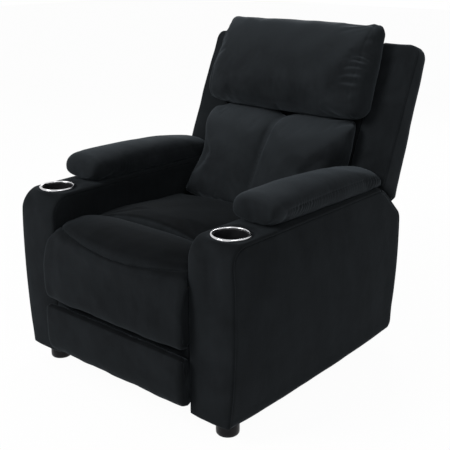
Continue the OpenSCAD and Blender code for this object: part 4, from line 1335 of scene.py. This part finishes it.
def makeCamera():
    c = cameraSet
    az = math.radians(c["azimuth"])
    el = math.radians(c["elevation"])
    data = bpy.data.cameras.new("camera")
    data.lens = c["focal"]
    data.sensor_width = c["film"]
    data.clip_start = 0.05
    data.clip_end = 60
    camera = bpy.data.objects.new("camera", data)
    scene.collection.objects.link(camera)
    back = Vector((math.sin(az) * math.cos(el), -math.cos(az) * math.cos(el), math.sin(el)))
    right = Vector((math.cos(az), math.sin(az), 0))
    turn = Matrix((right, back.cross(right), back)).transposed()
    camera.rotation_mode = "QUATERNION"
    camera.rotation_quaternion = (turn @ Matrix.Rotation(math.radians(c["roll"]), 3, "Z")).to_quaternion()
    camera.location = Vector(toFrame([c["place"]])[0])
    scene.camera = camera


# Places and sizes of the lamps are in metres
lightSet = {
    "world": 0.34, "floorWhite": 0.9, "floorGlow": 0.965, "floorReach": 14,
    "lamps": {"key": {"place": (-1.0, -2.8, 2.5), "aim": 0.5, "size": 1.4, "power": 80},
              "fill": {"place": (2.2, -1.4, 3.0), "aim": 0.4, "size": 1.6, "power": 26},
              "rim": {"place": (-1.6, 3.0, 2.3), "aim": 0.7, "size": 1.3, "power": 44}},
}


def makeLamp(name, place, aim, size, power):
    data = bpy.data.lights.new(name, "AREA")
    data.shape = "DISK"
    data.size = size
    data.energy = power
    lamp = bpy.data.objects.new(name, data)
    lamp.location = place
    lamp.rotation_mode = "QUATERNION"
    lamp.rotation_quaternion = (Vector((0, 0, aim)) - Vector(place)).to_track_quat("-Z", "Y")
    scene.collection.objects.link(lamp)


def raysSeen(tree):  # the rays that see the studio white: from the camera, mirrored or through a clear thing
    kinds = ("Is Camera Ray", "Is Glossy Ray", "Is Transmission Ray")
    straight, mirrored, clear = [newNode(tree, "ShaderNodeLightPath", output=kind) for kind in kinds]
    return straight + mirrored + clear


def makeFloor():
    finish = Finish("paleFloor", 0.7)
    tree = finish.tree
    finish.shader.inputs["Base Color"].default_value = rgb([lightSet["floorWhite"]] * 3)
    finish.feed("Roughness", 0.6 + finish.noise(60, 3.0) * 0.1)
    glow = finish.node("ShaderNodeEmission", inputs={"Color": rgb((1, 1, 1)), "Strength": 1.0})
    mixed = finish.node("ShaderNodeMixShader", inputs={
        0: raysSeen(tree) * lightSet["floorGlow"], 1: Link(tree, finish.shader.outputs[0]), 2: glow})
    tree.links.new(mixed.socket, tree.nodes["Material Output"].inputs["Surface"])
    mesh = bpy.data.meshes.new("floor")
    r = lightSet["floorReach"]
    mesh.from_pydata([(-r, -r, 0), (r, -r, 0), (r, r, 0), (-r, r, 0)], [], [(0, 1, 2, 3)])
    floor = bpy.data.objects.new("floor", mesh)
    floor.data.materials.append(finish.material)
    scene.collection.objects.link(floor)


def makeWorld():
    world = bpy.data.worlds.new("studio")
    scene.world = world
    world.use_nodes = True
    tree = world.node_tree
    background = tree.nodes["Background"]
    strength = lightSet["world"] + raysSeen(tree).math("MINIMUM", 1.0) * (1 - lightSet["world"])
    tree.links.new(strength.socket, background.inputs["Strength"])
    background.inputs["Color"].default_value = rgb((1, 1, 1))


makeCamera()
makeFloor()
makeWorld()
for name, lamp in lightSet["lamps"].items():
    makeLamp(name, **lamp)
scene.view_settings.view_transform = "Standard"
print("studio made")
